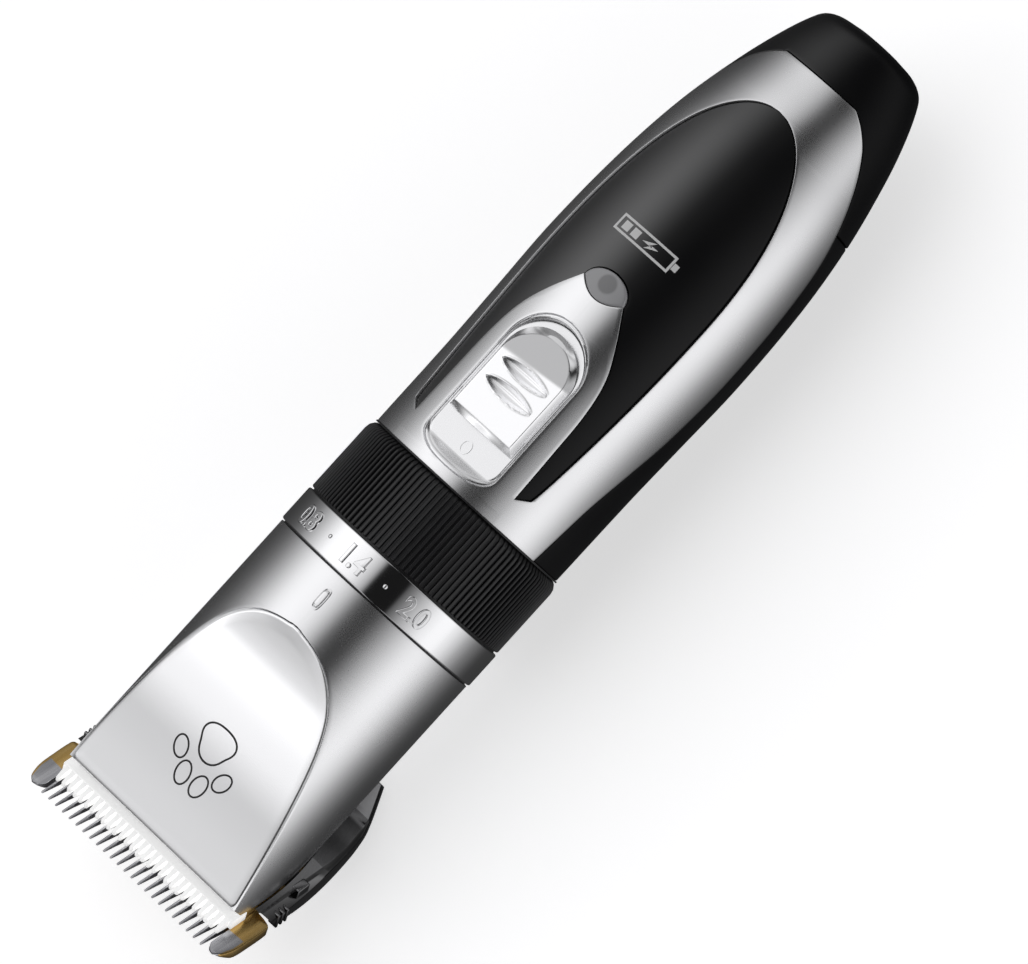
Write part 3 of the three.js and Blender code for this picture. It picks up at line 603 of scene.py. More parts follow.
def newSheet(name, points, faces, body, wall, rounding, replaces, material):
    # a thin open surface, turned outwards, then given its wall and rounded rims
    mesh = bpy.data.meshes.new(name)
    mesh.from_pydata([tuple(p) for p in points], [], faces)
    work = bmesh.new()
    work.from_mesh(mesh)
    bmesh.ops.remove_doubles(work, verts=work.verts, dist=2e-6)
    bmesh.ops.dissolve_degenerate(work, dist=1e-6, edges=work.edges)
    bmesh.ops.recalc_face_normals(work, faces=work.faces)
    centre = Vector((0, 0, overall["axisHeight"] * mm))
    lean = 0.0
    for face in work.faces:
        spoke = face.calc_center_median() - centre
        spoke.y = 0
        lean += face.normal.dot(spoke) * face.calc_area()
    if lean < 0:
        bmesh.ops.reverse_faces(work, faces=work.faces)
    work.to_mesh(mesh)
    work.free()
    piece = bpy.data.objects.new(name, mesh)
    bpy.context.scene.collection.objects.link(piece)
    addWall(piece, wall, rounding)
    bakeModifiers(piece)
    finishPiece(piece, body, replaces, material)
    return piece


def makeInsetPanel():
    rows = spread((83.9, 85.5, 0.3), (85.5, 116, 0.9), (116, 119.4, 0.3), (119.4, 120.6, 0.08),
                  (120.6, 152, 0.9), (152, 155.2, 0.3), (155.2, 155.95, 0.06))
    count = 22
    share = np.linspace(0, 1, count + 1)
    grid = []
    for y in rows:
        gap = inset["gap"]
        outer = max(float(insetHalf(y + gap) - gap), 0.0)
        inner = float(tongueHalf(y - gap) + gap) if y < tongue["lensTip"] + gap else 0.0
        if y < 84.2:
            inner = float(tongueCurve(84.2) + gap)
        ends = toAngle(np.array([min(inner, outer), outer]), y)
        line = ends[0] + (ends[1] - ends[0]) * share
        along = slanted(y + (gap if y < 84.5 else 0), share)
        grid.append(onHandle(line, along, inset["lowered"]))
    points = toFrame(np.array(grid).reshape(-1, 3))
    points, faces = mirrored(points, sheetFaces(len(rows), count + 1))
    return newSheet("black_inset", points, faces, "handle", 1.4, 0.22, ("inset_panel",), insetBlack)


def makeRearCasing():
    rows = spread((handle["start"], handle["tailSeam"], 1.0))
    share = np.linspace(0, 1, 49)
    seam = handle["seam"]
    grid = []
    for y in rows:
        first = math.radians(frameAngle(y)) + seam / handleWidth(y)
        grid.append(onHandle(first + (math.pi - first) * share, y, 0.06))
    points = toFrame(np.array(grid).reshape(-1, 3))
    points, faces = mirrored(points, sheetFaces(len(rows), len(share)))
    return newSheet("rear_shell", points, faces, "handle", 1.8, 0.25, ("rear_casing",), blackSatin)


socket = dict(height=-1.0, radius=3.5, lip=0.25, depth=4.4)


def makeTailCap():
    rows = spread((148.15, 163.4, 0.9), (163.4, 164.5, 0.275), (164.5, 172, 0.75), (172, 174.4, 0.3),
                  (174.4, 175, 0.1))
    first = np.linspace(0, 1, 13)
    rest = np.linspace(0, 1, 45)[1:]
    grid, keep = [], []
    for y in rows:
        cut = math.radians(frameAngle(y)) + handle["seam"] / handleWidth(y)
        grid.append(onHandle(np.append(cut * first, cut + (math.pi - cut) * rest), y))
    for low in rows[:-1]:
        keep.append([low > 164.4] * (len(first) - 1) + [True] * len(rest))
    # the end closes round the charging socket and runs a little way into it
    rim = grid[-1]
    turn = np.arctan2(rim[:, 0], rim[:, 2] - socket["height"])
    for radius, y in ((socket["radius"] + socket["lip"], 175.0), (socket["radius"] + 0.07, 174.93),
                      (socket["radius"], 174.7), (socket["radius"], 175 - socket["depth"])):
        circle = np.stack([radius * np.sin(turn), np.full_like(turn, y),
                           socket["height"] + radius * np.cos(turn)], axis=-1)
        grid.append(circle)
        keep.append([True] * (len(rim) - 1))
    points = toFrame(np.array(grid).reshape(-1, 3))
    points, faces = mirrored(points, sheetFaces(len(grid), len(rim), keep))
    return newSheet("tail_end", points, faces, "handle", 1.2, 0.22, ("tail_cap",), blackSatin)


def outlineLoop(halfWidth, stations):
    right = [(float(halfWidth(y)), y) for y in stations]
    left = [(-x, y) for x, y in reversed(right) if x > 1e-4]
    return np.array([p for p in right if p[0] > -1] + left)


def evenLoop(loop, count):
    closed = np.vstack([loop, loop[:1]])
    length = np.insert(np.cumsum(np.hypot(*np.diff(closed, axis=0).T)), 0, 0)
    at = np.linspace(0, length[-1], count, endpoint=False)
    return np.stack([np.interp(at, length, closed[:, i]) for i in (0, 1)], axis=-1)


def loopSurface(loop, centre, levels):
    # levels are (scale of the outline, function from x and y to a height)
    points = []
    for scale, height in levels:
        ring = centre + (loop - centre) * scale
        points.append(np.column_stack([ring, height(ring[:, 0], ring[:, 1])]))
    return np.vstack(points)


def makeRecessTray():
    quarter = np.linspace(0, math.pi / 2, 14)
    ends = recess["start"] + (recess["square"] - recess["start"]) * (1 - np.cos(quarter))
    arch = recess["arch"] + (recess["end"] - recess["arch"]) * np.sin(np.linspace(0, math.pi / 2, 22))
    loop = evenLoop(outlineLoop(recessHalf, [*ends, *np.linspace(86, 102, 9), *arch]), 200)
    centre = np.array([0, 96.0])

    def floor(x, y):
        return recess["floor"] + recess["apron"] * np.clip(recess["floorStart"] - y, 0, None)

    def between(inset, share):
        return lambda x, y: (1 - share) * handleHeight(x, y, inset) + share * floor(x, y)

    # scale of the outline, depth below the handle's skin, and share of the floor's height
    steps = [(1.012, 0.9, 0), (1.0, 0.6, 0), (0.985, 0.36, 0), (0.965, 0.34, 0), (0.952, 0.46, 0),
             (0.944, 0.6, 0.2), (0.938, 0.7, 0.5), (0.932, 0.8, 0.8), (0.925, 0.8, 0.95)]
    steps += [(scale, 0.8, 1) for scale in np.linspace(0.915, 0.25, 60)]
    levels = [(scale, between(inset, share)) for scale, inset, share in steps]
    points = loopSurface(loop, centre, levels)
    under = loopSurface(loop, centre, [(scale, lambda x, y: np.full_like(x, recess["floor"] - 0.6))
                                       for scale in (0.25, 1.012)])
    points = toFrame(np.vstack([points, under]))
    # the slot under the button stays open
    faces = ringFaces(len(steps) + 2, len(loop), False, False)
    first, last = 0, (len(steps) + 1) * len(loop)
    for c in range(len(loop)):
        d = (c + 1) % len(loop)
        faces.append((last + c, last + d, first + d, first + c))
    return newPiece("switch_well", points, faces, "handle", (), satinChrome, 40)


button = dict(start=88.1, arch=101.0, end=107.6, half=6.9, top=19.05, crease=100.6, fall=0.2, ease=0.6,
              grooves=(95.3, 99.1), grooveHalf=4.9, grooveWidth=1.15, grooveDepth=0.75, lip=0.16)


def buttonTop(x, y):
    past = y - button["crease"] - 0.08 * x
    slope = np.where(past > button["ease"], past - button["ease"] / 2,
                     np.clip(past, 0, None) ** 2 / (2 * button["ease"]))
    height = np.full_like(x, button["top"]) - button["fall"] * slope
    for middle in button["grooves"]:
        half = button["grooveWidth"] * np.clip(1 - (x / button["grooveHalf"]) ** 2, 0, 1) ** 0.75
        across = (y - middle) / np.maximum(half, 1e-3)
        fade = (half / button["grooveWidth"]) ** 0.7
        dish = np.clip(1 - across ** 2, 0, 1) * fade
        rim = np.exp(-((np.abs(y - middle) - half - 0.16) / 0.16) ** 2) * fade
        height = height - button["grooveDepth"] * np.where(half > 0.02, dish, 0) + button["lip"] * rim
    return height


def makeSwitchButton():
    def halfWidth(y):
        over = np.clip((y - button["arch"]) / (button["end"] - button["arch"]), 0, 1)
        return button["half"] * np.sqrt(1 - over ** 2)

    arch = button["arch"] + (button["end"] - button["arch"]) * np.sin(np.linspace(0, math.pi / 2, 24))
    loop = evenLoop(outlineLoop(halfWidth, [*np.linspace(button["start"], 100, 16), *arch]), 320)
    centre = np.array([0, 97.4])
    levels = [(0.97, lambda x, y: handleHeight(x, y, 1.1)), (1.0, lambda x, y: handleHeight(x, y, 1.05)),
              (1.0, lambda x, y: handleHeight(x, y, 0.75)), (0.995, lambda x, y: handleHeight(x, y, 0.62))]
    for share in (0.25, 0.5, 0.75):
        levels.append((0.995 - 0.11 * share, lambda x, y, s=share:
                       (1 - s) * handleHeight(x, y, 0.62) + s * (buttonTop(x, y) - 0.12)))
    levels += [(0.882, lambda x, y: buttonTop(x, y) - 0.09), (0.875, lambda x, y: buttonTop(x, y) - 0.03)]
    levels += [(scale, buttonTop) for scale in np.linspace(0.862, 0.008, 64)]
    points = toFrame(loopSurface(loop, centre, levels))
    faces = ringFaces(len(levels), len(loop))
    return newPiece("switch_button", points, faces, "power_switch", ("switch_slider",), buttonChrome,
                    26)


def makeLens():
    corner, tip, half = tongue["lensCorner"], tongue["lensTip"], tongue["lensHalf"] - 0.1
    upper = [(half * math.cos(t), corner + (tip - 0.1 - corner) * math.sin(t))
             for t in np.linspace(0, math.pi, 40)]
    lower = [(x, corner + 0.12 - (corner - tongue["lensStart"]) * (1 - (x / half) ** 2))
             for x in np.linspace(-half, half, 30)[1:-1]]
    loop = evenLoop(np.array(upper + lower), 120)
    centre = np.array([0, 117.7])
    levels = [(0.97, lambda x, y: handleHeight(x, y, 1.4)), (1.0, lambda x, y: handleHeight(x, y, 1.3)),
              (1.0, lambda x, y: handleHeight(x, y, 0.22)), (0.985, lambda x, y: handleHeight(x, y, 0.09)),
              (0.955, lambda x, y: handleHeight(x, y, 0.02))]
    levels += [(s, lambda x, y: handleHeight(x, y, 0.0)) for s in np.linspace(0.9, 0.05, 12)]
    points = toFrame(loopSurface(loop, centre, levels))
    spot = toFrame(np.array([[0, 118.2, 0]]))[0]
    return newPiece("light_lens", points, ringFaces(len(levels), len(loop)), "handle", ("indicator_lens",),
                    lensFinish(spot, 1.6 * mm), 40)


chargeMark = dict(middle=127.0, half=6.3, tall=1.5, stroke=0.4, cap=1.0, raised=0.04)


def makeChargeMark():
    # a battery outline with a bolt, printed as strips that follow the handle's front
    half, tall, line = chargeMark["half"], chargeMark["tall"], chargeMark["stroke"]
    middle, body = chargeMark["middle"], chargeMark["half"] - chargeMark["cap"]
    points, faces = [], []

    def strip(lower, upper):
        # two edges with the same count of [x, y] points
        start, count = len(points), len(lower)
        for lift in (-0.03, chargeMark["raised"]):
            for x, y in [*lower, *upper]:
                points.append((x, middle + y, float(handleHeight(x, middle + y, inset["lowered"])) + lift))
        under, over = start, start + 2 * count
        for i in range(count - 1):
            for level in (under, over):
                faces.append((level + i, level + i + 1, level + count + i + 1, level + count + i))
            for row in (0, count):
                a, b = row + i, row + i + 1
                faces.append((under + a, under + b, over + b, over + a))
        for a in (0, count - 1):
            faces.append((under + a, under + count + a, over + count + a, over + a))

    def bar(x0, x1, y0, y1):
        across = np.linspace(x0, x1, max(2, int((x1 - x0) / 0.4)))
        strip([(x, y0) for x in across], [(x, y1) for x in across])

    bar(-half, body, tall - line, tall)
    bar(-half, body, -tall, line - tall)
    bar(-half, line - half, line - tall, tall - line)
    bar(body - line, body, line - tall, tall - line)
    bar(body + 0.1, half, -0.6, 0.6)
    for x in (-5.2, -3.2):
        bar(x, x + 1.45, -0.75, 0.75)
    strip([(-0.9, -0.1), (0.3, -0.1), (1.1, -0.1)], [(1.4, 0.95), (0.9, 0.35), (0.5, -0.1)])
    strip([(0.3, 0.15), (1.1, 0.15), (2.3, 0.15)], [(0.9, 0.15), (0.5, -0.3), (0.0, -0.9)])
    return newPiece("charge_mark", toFrame(np.array(points)), faces, "handle", (), inkWhite)


floorMark = dict(station=84.9, radius=0.85, tall=1.15, width=0.22, raised=0.09)


def makeFloorMark():
    # the raised round mark that the button uncovers at its off end
    outer, inner = strokeRing((0, floorMark["station"]), (floorMark["radius"], floorMark["tall"]), 0,
                              floorMark["width"], 48)
    count = len(outer)
    rings = [(outer, -0.05), (outer, floorMark["raised"]), (inner, floorMark["raised"]), (inner, -0.05)]
    points = [(x, y, recess["floor"] + lift) for ring, lift in rings for x, y in ring]
    faces = []
    for r in range(4):
        for c in range(count):
            d, n = (c + 1) % count, (r + 1) % 4
            faces.append((r * count + c, r * count + d, n * count + d, n * count + c))
    newPiece("off_mark", toFrame(np.array(points)), faces, "handle", (), satinChrome)


# The numbered dial and the ribbed grip behind it.
dial = dict(start=57.4, end=63.85, bore=17.4, radius=19.75, rounding=0.3, digitHeight=3.5, relief=0.2,
            bevel=0.15, marks=(("0.8", -36), ("1.4", 0), ("2.0", 36)), dots=(-18, 18))
grip = dict(start=64.15, end=78.5, core=19.12, radius=19.6, ribs=122, chamferStart=76.6, chamferRadius=18.9)


def roundedRing(inner, outer, start, end, rounding, steps=5):
    section = [(inner, start)]
    for cx, cy, first in ((outer - rounding, start + rounding, -90), (outer - rounding, end - rounding, 0)):
        for i in range(steps + 1):
            angle = math.radians(first + 90 * i / steps)
            section.append((cx + rounding * math.cos(angle), cy + rounding * math.sin(angle)))
    section.append((inner, end))
    return section


def makeDialRing():
    section = roundedRing(dial["bore"], dial["radius"], dial["start"], dial["end"], dial["rounding"])
    points, faces = turnedPoints(section, 180)
    meshes = [rawMesh(toFrame(points), faces)]
    meshes += [wrappedDigits(text, angle) for text, angle in dial["marks"]]
    for angle in dial["dots"]:
        meshes.append(dialDot(angle))
    piece = joinMeshes("number_ring", meshes)
    finishPiece(piece, "dial", ("dial_ring",), dialChrome, 40)
    return piece


def dialDot(angle):
    middle, radius, rings = (dial["start"] + dial["end"]) / 2, 0.42, []
    for share in (1.0, 0.8, 0.45):
        for i in range(14):
            turn = 2 * math.pi * i / 14
            around = math.radians(angle) + radius * share * math.cos(turn) / dial["radius"]
            out = dial["radius"] - 0.1 + 0.34 * (1 - share ** 2) ** 0.5
            rings.append((out * math.sin(around), middle + radius * share * math.sin(turn),
                          out * math.cos(around)))
    return rawMesh(toFrame(np.array(rings)), ringFaces(3, 14))


def wrappedDigits(text, angle):
    curve = bpy.data.curves.new("digits", "FONT")
    curve.body = text
    curve.size = dial["digitHeight"] / 0.72
    curve.align_x, curve.align_y = "CENTER", "CENTER"
    curve.extrude = dial["relief"]
    curve.bevel_depth = dial["bevel"]
    curve.bevel_resolution = 2
    curve.offset = 0.02
    curve.resolution_u = 4
    holder = bpy.data.objects.new("digits", curve)
    bpy.context.scene.collection.objects.link(holder)
    bpy.context.view_layer.update()
    mesh = bpy.data.meshes.new_from_object(holder.evaluated_get(bpy.context.evaluated_depsgraph_get()))
    bpy.data.objects.remove(holder)
    flat = np.array([tuple(v.co) for v in mesh.vertices])
    flat[:, 0] *= 0.84
    flat[:, 0] -= (flat[:, 0].max() + flat[:, 0].min()) / 2
    flat[:, 1] -= (flat[:, 1].max() + flat[:, 1].min()) / 2
    around = math.radians(angle) + flat[:, 0] / dial["radius"]
    out = dial["radius"] + flat[:, 2] * 0.9
    place = np.stack([out * np.sin(around), (dial["start"] + dial["end"]) / 2 + flat[:, 1],
                      out * np.cos(around)], axis=-1)
    for vertex, spot in zip(mesh.vertices, toFrame(place)):
        vertex.co = spot
    return mesh


seams = ((57.12, 57.38), (63.87, 64.13), (78.52, 78.78))


def makeSeamRings():
    # dark washers that fill the joints on either side of the rings
    meshes = []
    for start, end in seams:
        points, faces = turnedPoints([(17.2, start), (19.05, start), (19.05, end), (17.2, end)], 120)
        meshes.append(rawMesh(toFrame(points), faces))
    pieceFrom("seam_washers", meshes, "handle", (), gripBlack)


def makeGripRing():
    # a smooth core with fine ribs that fade into the rounded tail edge
    core = [(17.4, grip["start"]), (grip["core"], grip["start"]), (grip["core"], grip["chamferStart"]),
            (grip["core"] - 0.1, grip["end"] - 1.0), (grip["chamferRadius"] - 0.3, grip["end"] - 0.25),
            (grip["chamferRadius"] - 0.6, grip["end"]), (17.4, grip["end"])]
    points, faces = turnedPoints(core, 180)
    stations = [grip["start"] + 0.05, grip["start"] + 0.25, 67, 70, 73, grip["chamferStart"],
                grip["end"] - 1.0, grip["end"] - 0.35, grip["end"] - 0.05]
    tops = [grip["radius"] - 0.2, grip["radius"], grip["radius"], grip["radius"], grip["radius"],
            grip["radius"], grip["radius"] - 0.16, grip["radius"] - 0.62, grip["radius"] - 1.0]
    section = [(-0.4, -0.75), (-0.27, -0.12), (-0.16, 0.0), (0.16, 0.0), (0.27, -0.12), (0.4, -0.75)]
    rib = []
    for y, top in zip(stations, tops):
        rib += [(x, y, top + z) for x, z in section]
    ribPoints = np.array(rib) * mm
    ribFaces = ringFaces(len(stations), len(section))
    ribs = repeated(ribPoints, ribFaces, repeatAround, grip["ribs"],
                    (0, 2 * math.pi / grip["ribs"], 0), gripBlack)
    for vertex in ribs.vertices:
        vertex.co.y -= overall["length"] / 2 * mm
        vertex.co.z += overall["axisHeight"] * mm
    piece = joinMeshes("ribbed_grip", [rawMesh(toFrame(points), faces), ribs])
    finishPiece(piece, "dial", ("grip_ring",), gripBlack, 25)
    return piece


# The head, its face plate and the blades in it.
head = dict(radius=19.5, heel=41.0, heelHeight=-16.1, wall=1.6, rounding=0.3, lift=2.8,
            plateEnd=46.9, plateGap=0.1)
blade = dict(tilt=math.radians(37.6), tipHeight=5.0, depth=24.6, thickness=2.2, teeth=24, pitch=1.577,
             root=8.6, earInner=18.95, ground=5.6, rim=21.95, rimStart=3.6)
mover = dict(teeth=29, pitch=1.3, start=3.2, root=5.4, low=0.3, high=2.3, half=19.3, backHalf=17.6)
plateSpine = smoothCurve([(7.2, 5.1), (15, 7.5), (23, 9.8), (31, 12.05), (35, 13.3), (38.9, 14.75),
                          (41, 15.75), (42.8, 16.75), (45, 18.15), (46.6, 19.4), (47, 19.5)])


def plateHeight(y):
    return plateSpine(y)


def plateHalf(y):
    return np.sqrt(np.clip(head["radius"] ** 2 - plateSpine(y) ** 2, 0, None))


def bladePlane(y, lift):
    return blade["tipHeight"] - y * math.tan(blade["tilt"]) + lift / math.cos(blade["tilt"])


def makeHeadHousing():
    rows = spread((7.3, 9, 0.3), (9, 32, 1.0), (32, 41, 0.9), (41, 43.4, 0.6), (43.4, 45.6, 0.3),
                  (45.6, 47.0, 0.08), (47.0, 57.1, 0.9))
    side, under = np.linspace(0, 1, 41), np.linspace(0, 1, 11)[1:]
    heelAngle = math.acos(head["heelHeight"] / head["radius"])
    grid, keep = [], []
    for y in rows:
        first = math.asin(min(1, float(plateHalf(y)) / head["radius"])) if y < head["plateEnd"] else 0
        low = max(float(bladePlane(y, head["lift"])), head["heelHeight"])
        last = min(math.acos(low / head["radius"]), heelAngle)
        line = np.append(first + (last - first) * side, heelAngle + (math.pi - heelAngle) * under)
        grid.append(np.stack([head["radius"] * np.sin(line), np.full_like(line, y),
                              head["radius"] * np.cos(line)], axis=-1))
    for low in rows[:-1]:
        keep.append([True] * (len(side) - 1) + [low > head["heel"] - 0.1] * len(under))
    points = toFrame(np.array(grid).reshape(-1, 3))
    points, faces = mirrored(points, sheetFaces(len(rows), len(line), keep))
    piece = newSheet("head_shell", points, faces, "handle", head["wall"], head["rounding"],
                     ("head_housing",), satinChrome)
    return piece


# A rounded block between two corners, in millimetres.
def roundedBlock(low, high, rounding, place=toFrame):
    work = bmesh.new()
    bmesh.ops.create_cube(work, size=1)
    low, high = np.array(low, dtype=float), np.array(high, dtype=float)
    for vertex in work.verts:
        vertex.co = Vector((low + high) / 2 + (high - low) * np.array(vertex.co))
    bmesh.ops.bevel(work, geom=work.edges[:], offset=rounding, segments=3, profile=0.5, affect="EDGES")
    mesh = bpy.data.meshes.new("block")
    work.to_mesh(mesh)
    work.free()
    for vertex in mesh.vertices:
        vertex.co = Vector(place(np.array(vertex.co)[None, :])[0])
    return mesh


def bladePoints(points):
    flat = np.array(points, dtype=float)
    out = np.empty_like(flat)
    tilt = blade["tilt"]
    out[..., 0] = flat[..., 0]
    out[..., 1] = flat[..., 1] * math.cos(tilt) + flat[..., 2] * math.sin(tilt)
    out[..., 2] = blade["tipHeight"] - flat[..., 1] * math.sin(tilt) + flat[..., 2] * math.cos(tilt)
    return toFrame(out)


def pieceFrom(name, meshes, body, replaces, material, angle=35):
    piece = joinMeshes(name, meshes)
    finishPiece(piece, body, replaces, material, angle)
    return piece


def makeHeadDetails():
    blocks = [roundedBlock((-18.7, 7.35, 3.1), (18.7, 9, 4.4), 0.25),
              roundedBlock((-3.3, 37.4, -19.4), (3.3, 43, -16.0), 0.5)]
    pieceFrom("head_lip", blocks, "handle", (), satinChrome)
    mark = outlineLoop(lambda y: 0.62 * (1 - min(1, abs((y - 52.6) / 1.68)) ** 3.5) ** (1 / 3.5),
                       52.6 - 1.68 * np.cos(np.linspace(0, math.pi, 25)))
    loop = evenLoop(mark, 64)

    def skin(lift):
        return lambda x, y: np.sqrt((head["radius"] + lift) ** 2 - x ** 2)

    levels = [(1.3, skin(-0.3)), (1.22, skin(0.02)), (1.12, skin(0.05)), (1.0, skin(-0.02)),
              (0.93, skin(0.1)), (0.84, skin(0.2)), (0.7, skin(0.24)), (0.3, skin(0.24))]
    points = toFrame(loopSurface(loop, np.array([0, 52.6]), levels))
    newPiece("index_mark", points, ringFaces(len(levels), len(loop)), "handle", (), satinChrome,
             30)


def makeFacePlate():
    gap = head["plateGap"]
    front, corner, apex = 7.25, 1.3, head["plateEnd"] - gap
    stations = [front, *(front + corner * (1 - np.cos(np.linspace(0.1, math.pi / 2, 8)))),
                *np.linspace(9.6, 40, 40), *(40 + (apex - 40) * np.sin(np.linspace(0.06, math.pi / 2, 40)))]

    def halfWidth(y):
        short = 1 - math.sqrt(1 - min(1.0, max(0.0, (front + corner - y) / corner)) ** 2)
        tail = gap * max(0.0, (y - 24) / (apex - 24))
        return max(0.0, float(plateHalf(y + tail)) - gap - corner * short) if y < apex - 1e-6 else 0.0

    loop = evenLoop(outlineLoop(halfWidth, stations), 420)
    centre = np.array([0, 26.0])

    def skin(drop):
        return lambda x, y: plateHeight(y) - drop

    def shrunk(step):
        # the rim keeps an even width all round
        tangent = np.roll(loop, -2, axis=0) - np.roll(loop, 2, axis=0)
        normal = np.stack([tangent[:, 1], -tangent[:, 0]], axis=-1)
        normal /= np.linalg.norm(normal, axis=1)[:, None]
        normal *= np.sign(np.sum(normal * (loop - centre), axis=1))[:, None]
        return loop - normal * step

    points = []
    for scale in np.linspace(0.05, 0.93, 26):
        ring = centre + (shrunk(0.25) - centre) * scale
        points.append(np.column_stack([ring, skin(1.5)(ring[:, 0], ring[:, 1])]))
    rimSteps = ((0.25, 1.5), (0.0, 1.3), (0.0, 0.5), (0.04, 0.32), (0.14, 0.16), (0.32, 0.05), (0.6, 0.0))
    for step, drop in rimSteps:
        ring = shrunk(step)
        points.append(np.column_stack([ring, skin(drop)(ring[:, 0], ring[:, 1])]))
    inner = shrunk(0.6)
    for scale in [*np.linspace(0.93, 0.05, 26)]:
        ring = centre + (inner - centre) * scale
        points.append(np.column_stack([ring, skin(0)(ring[:, 0], ring[:, 1])]))
    faces = ringFaces(len(points), len(loop))
    return newPiece("face_panel", toFrame(np.vstack(points)), faces, "handle", ("face_plate",), plateSilver,
                    40)


# Line drawing strokes: each is a closed loop of [x, y] points drawn with a pen of the given width.
def strokeRing(centre, radii, turn, width, count=72):
    outer, inner = [], []
    for i in range(count):
        t = 2 * math.pi * i / count
        for ring, grow in ((outer, width / 2), (inner, -width / 2)):
            x, y = (radii[0] + grow) * math.cos(t), (radii[1] + grow) * math.sin(t)
            ring.append((centre[0] + x * math.cos(turn) - y * math.sin(turn),
                         centre[1] + x * math.sin(turn) + y * math.cos(turn)))
    return outer, inner


def makePawPrint():
    # a generic paw: a rounded pad, three lobes at its heel, and four toes
    points, faces = [], []

    def addStroke(outer, inner):
        start, count = len(points), len(outer)
        for ring, lift in ((outer, -0.03), (outer, 0.035), (inner, 0.035), (inner, -0.03)):
            points.extend((x, y, float(plateHeight(y)) + lift) for x, y in ring)
        for r in range(4):
            for c in range(count):
                d, n = (c + 1) % count, (r + 1) % 4
                corners = (r * count + c, r * count + d, n * count + d, n * count + c)
                faces.append(tuple(start + k for k in corners))

    toes = [(-4.6, 20.6, 1.25, 1.8, 0.5), (-1.75, 17.7, 1.3, 1.95, 0.16), (1.75, 17.7, 1.3, 1.95, -0.16),
            (4.6, 20.6, 1.25, 1.8, -0.5)]
    for x, y, wide, tall, turn in toes:
        addStroke(*strokeRing((x, y), (wide, tall), turn, 0.3))
    pad = []
    for i in range(120):
        t = 2 * math.pi * i / 120
        radius = 3.1 + 0.75 * math.cos(2 * t) * -0.35 + 0.32 * math.cos(3 * (t - math.pi / 2))
        pad.append((0 + radius * 1.12 * math.cos(t), 24.6 - radius * 0.92 * math.sin(t)))
    pad = np.array(pad)
    middle = np.array([0, 24.6])
    reach = np.linalg.norm(pad - middle, axis=1)[:, None]
    outer, inner = (middle + (pad - middle) * (1 + grow / reach) for grow in (0.16, -0.16))
    addStroke([tuple(p) for p in outer], [tuple(p) for p in inner])
    return newPiece("paw_print", toFrame(np.array(points)), faces, "handle", (), inkBlack,
                    60)


# The comb blade, the ceramic cutter and the carrier that holds them.

def loftedMesh(rings, place):
    points = np.array([p for ring in rings for p in ring], dtype=float)
    return rawMesh(place(points), ringFaces(len(rings), len(rings[0]), True, True))


def combTooth(stations):
    # stations are (depth, half width, low, high, width share of the flat top)
    rings = []
    for s, half, low, high, flat in stations:
        shoulder = low + (high - low) * 0.55
        rings.append([(-half * 0.8, s, low), (-half, s, shoulder), (-half * flat, s, high),
                      (half * flat, s, high), (half, s, shoulder), (half * 0.8, s, low)])
    return rings


def comb(stations, count, pitch, material):
    rings = combTooth(stations)
    points = np.array([p for ring in rings for p in ring], dtype=float)
    points[:, 0] -= (count - 1) / 2 * pitch
    mesh = repeated(bladePoints(points), ringFaces(len(rings), 6), repeatAlong, count,
                    (pitch * mm, 0, 0), material)
    return mesh


def bladeEar(side):
    def low(s):
        return max(-blade["thickness"], -0.12 - 0.648 * s)

    inner = smoothCurve([(0.3, 20.3), (0.6, 19.7), (1.6, 19.0), (2.4, blade["earInner"]),
                         (blade["root"], blade["earInner"])])
    outer = smoothCurve([(0.3, 20.7), (0.7, 21.2), (1.4, 21.8), (3.6, 22.45), (6, 22.6), (10.4, 22.6),
                         (11.1, 22.3), (11.4, 21.4), (11.55, 20.2)])
    rings = []
    for s in spread((0.3, 2.4, 0.15), (2.4, 10.4, 0.6), (10.4, 11.55, 0.13)):
        near, far, bottom = float(inner(s)), float(outer(s)), low(s)
        rim = min(0.28, (far - near) * 0.3)
        ring = [(near, s, bottom), (near, s, -0.08), (near + 0.08, s, 0.0), (far - rim, s, 0.0),
                (far - rim * 0.3, s, -0.08), (far, s, -0.3), (far, s, min(bottom + 0.35, -0.3)),
                (far - 0.3, s, bottom)]
        rings.append([(side * x, s, n) for x, s, n in ring])
    return loftedMesh(rings, bladePoints)


def makeFixedBlade():
    thick = blade["thickness"]
    # teeth of the comb: depth, half width, underside, top, flat share
    steps = [(0.0, 0.07, -0.2, -0.08, 0.5), (0.12, 0.16, -0.34, -0.02, 0.45), (0.4, 0.21, -0.38, 0.0, 0.45),
             (1.2, 0.25, -0.55, 0.0, 0.45), (2.6, 0.31, -0.8, 0.0, 0.45), (3.5, 0.36, -1.0, 0.0, 0.45),
             (5, 0.4, -1.3, 0.0, 0.45),
             (blade["root"] + 0.3, 0.6, -thick, 0.0, 0.5)]
    meshes = [comb(steps, blade["teeth"], blade["pitch"], titaniumBlade)]
    meshes += [bladeEar(side) for side in (-1, 1)]
    wide, root, deep = blade["earInner"] - 0.1, blade["root"], blade["depth"]
    meshes.append(roundedBlock((-wide, root, -thick), (wide, deep, -0.01), 0.15, bladePoints))
    pieceFrom("comb_blade", meshes, "blade_set", ("fixed_blade",), titaniumBlade, 30)


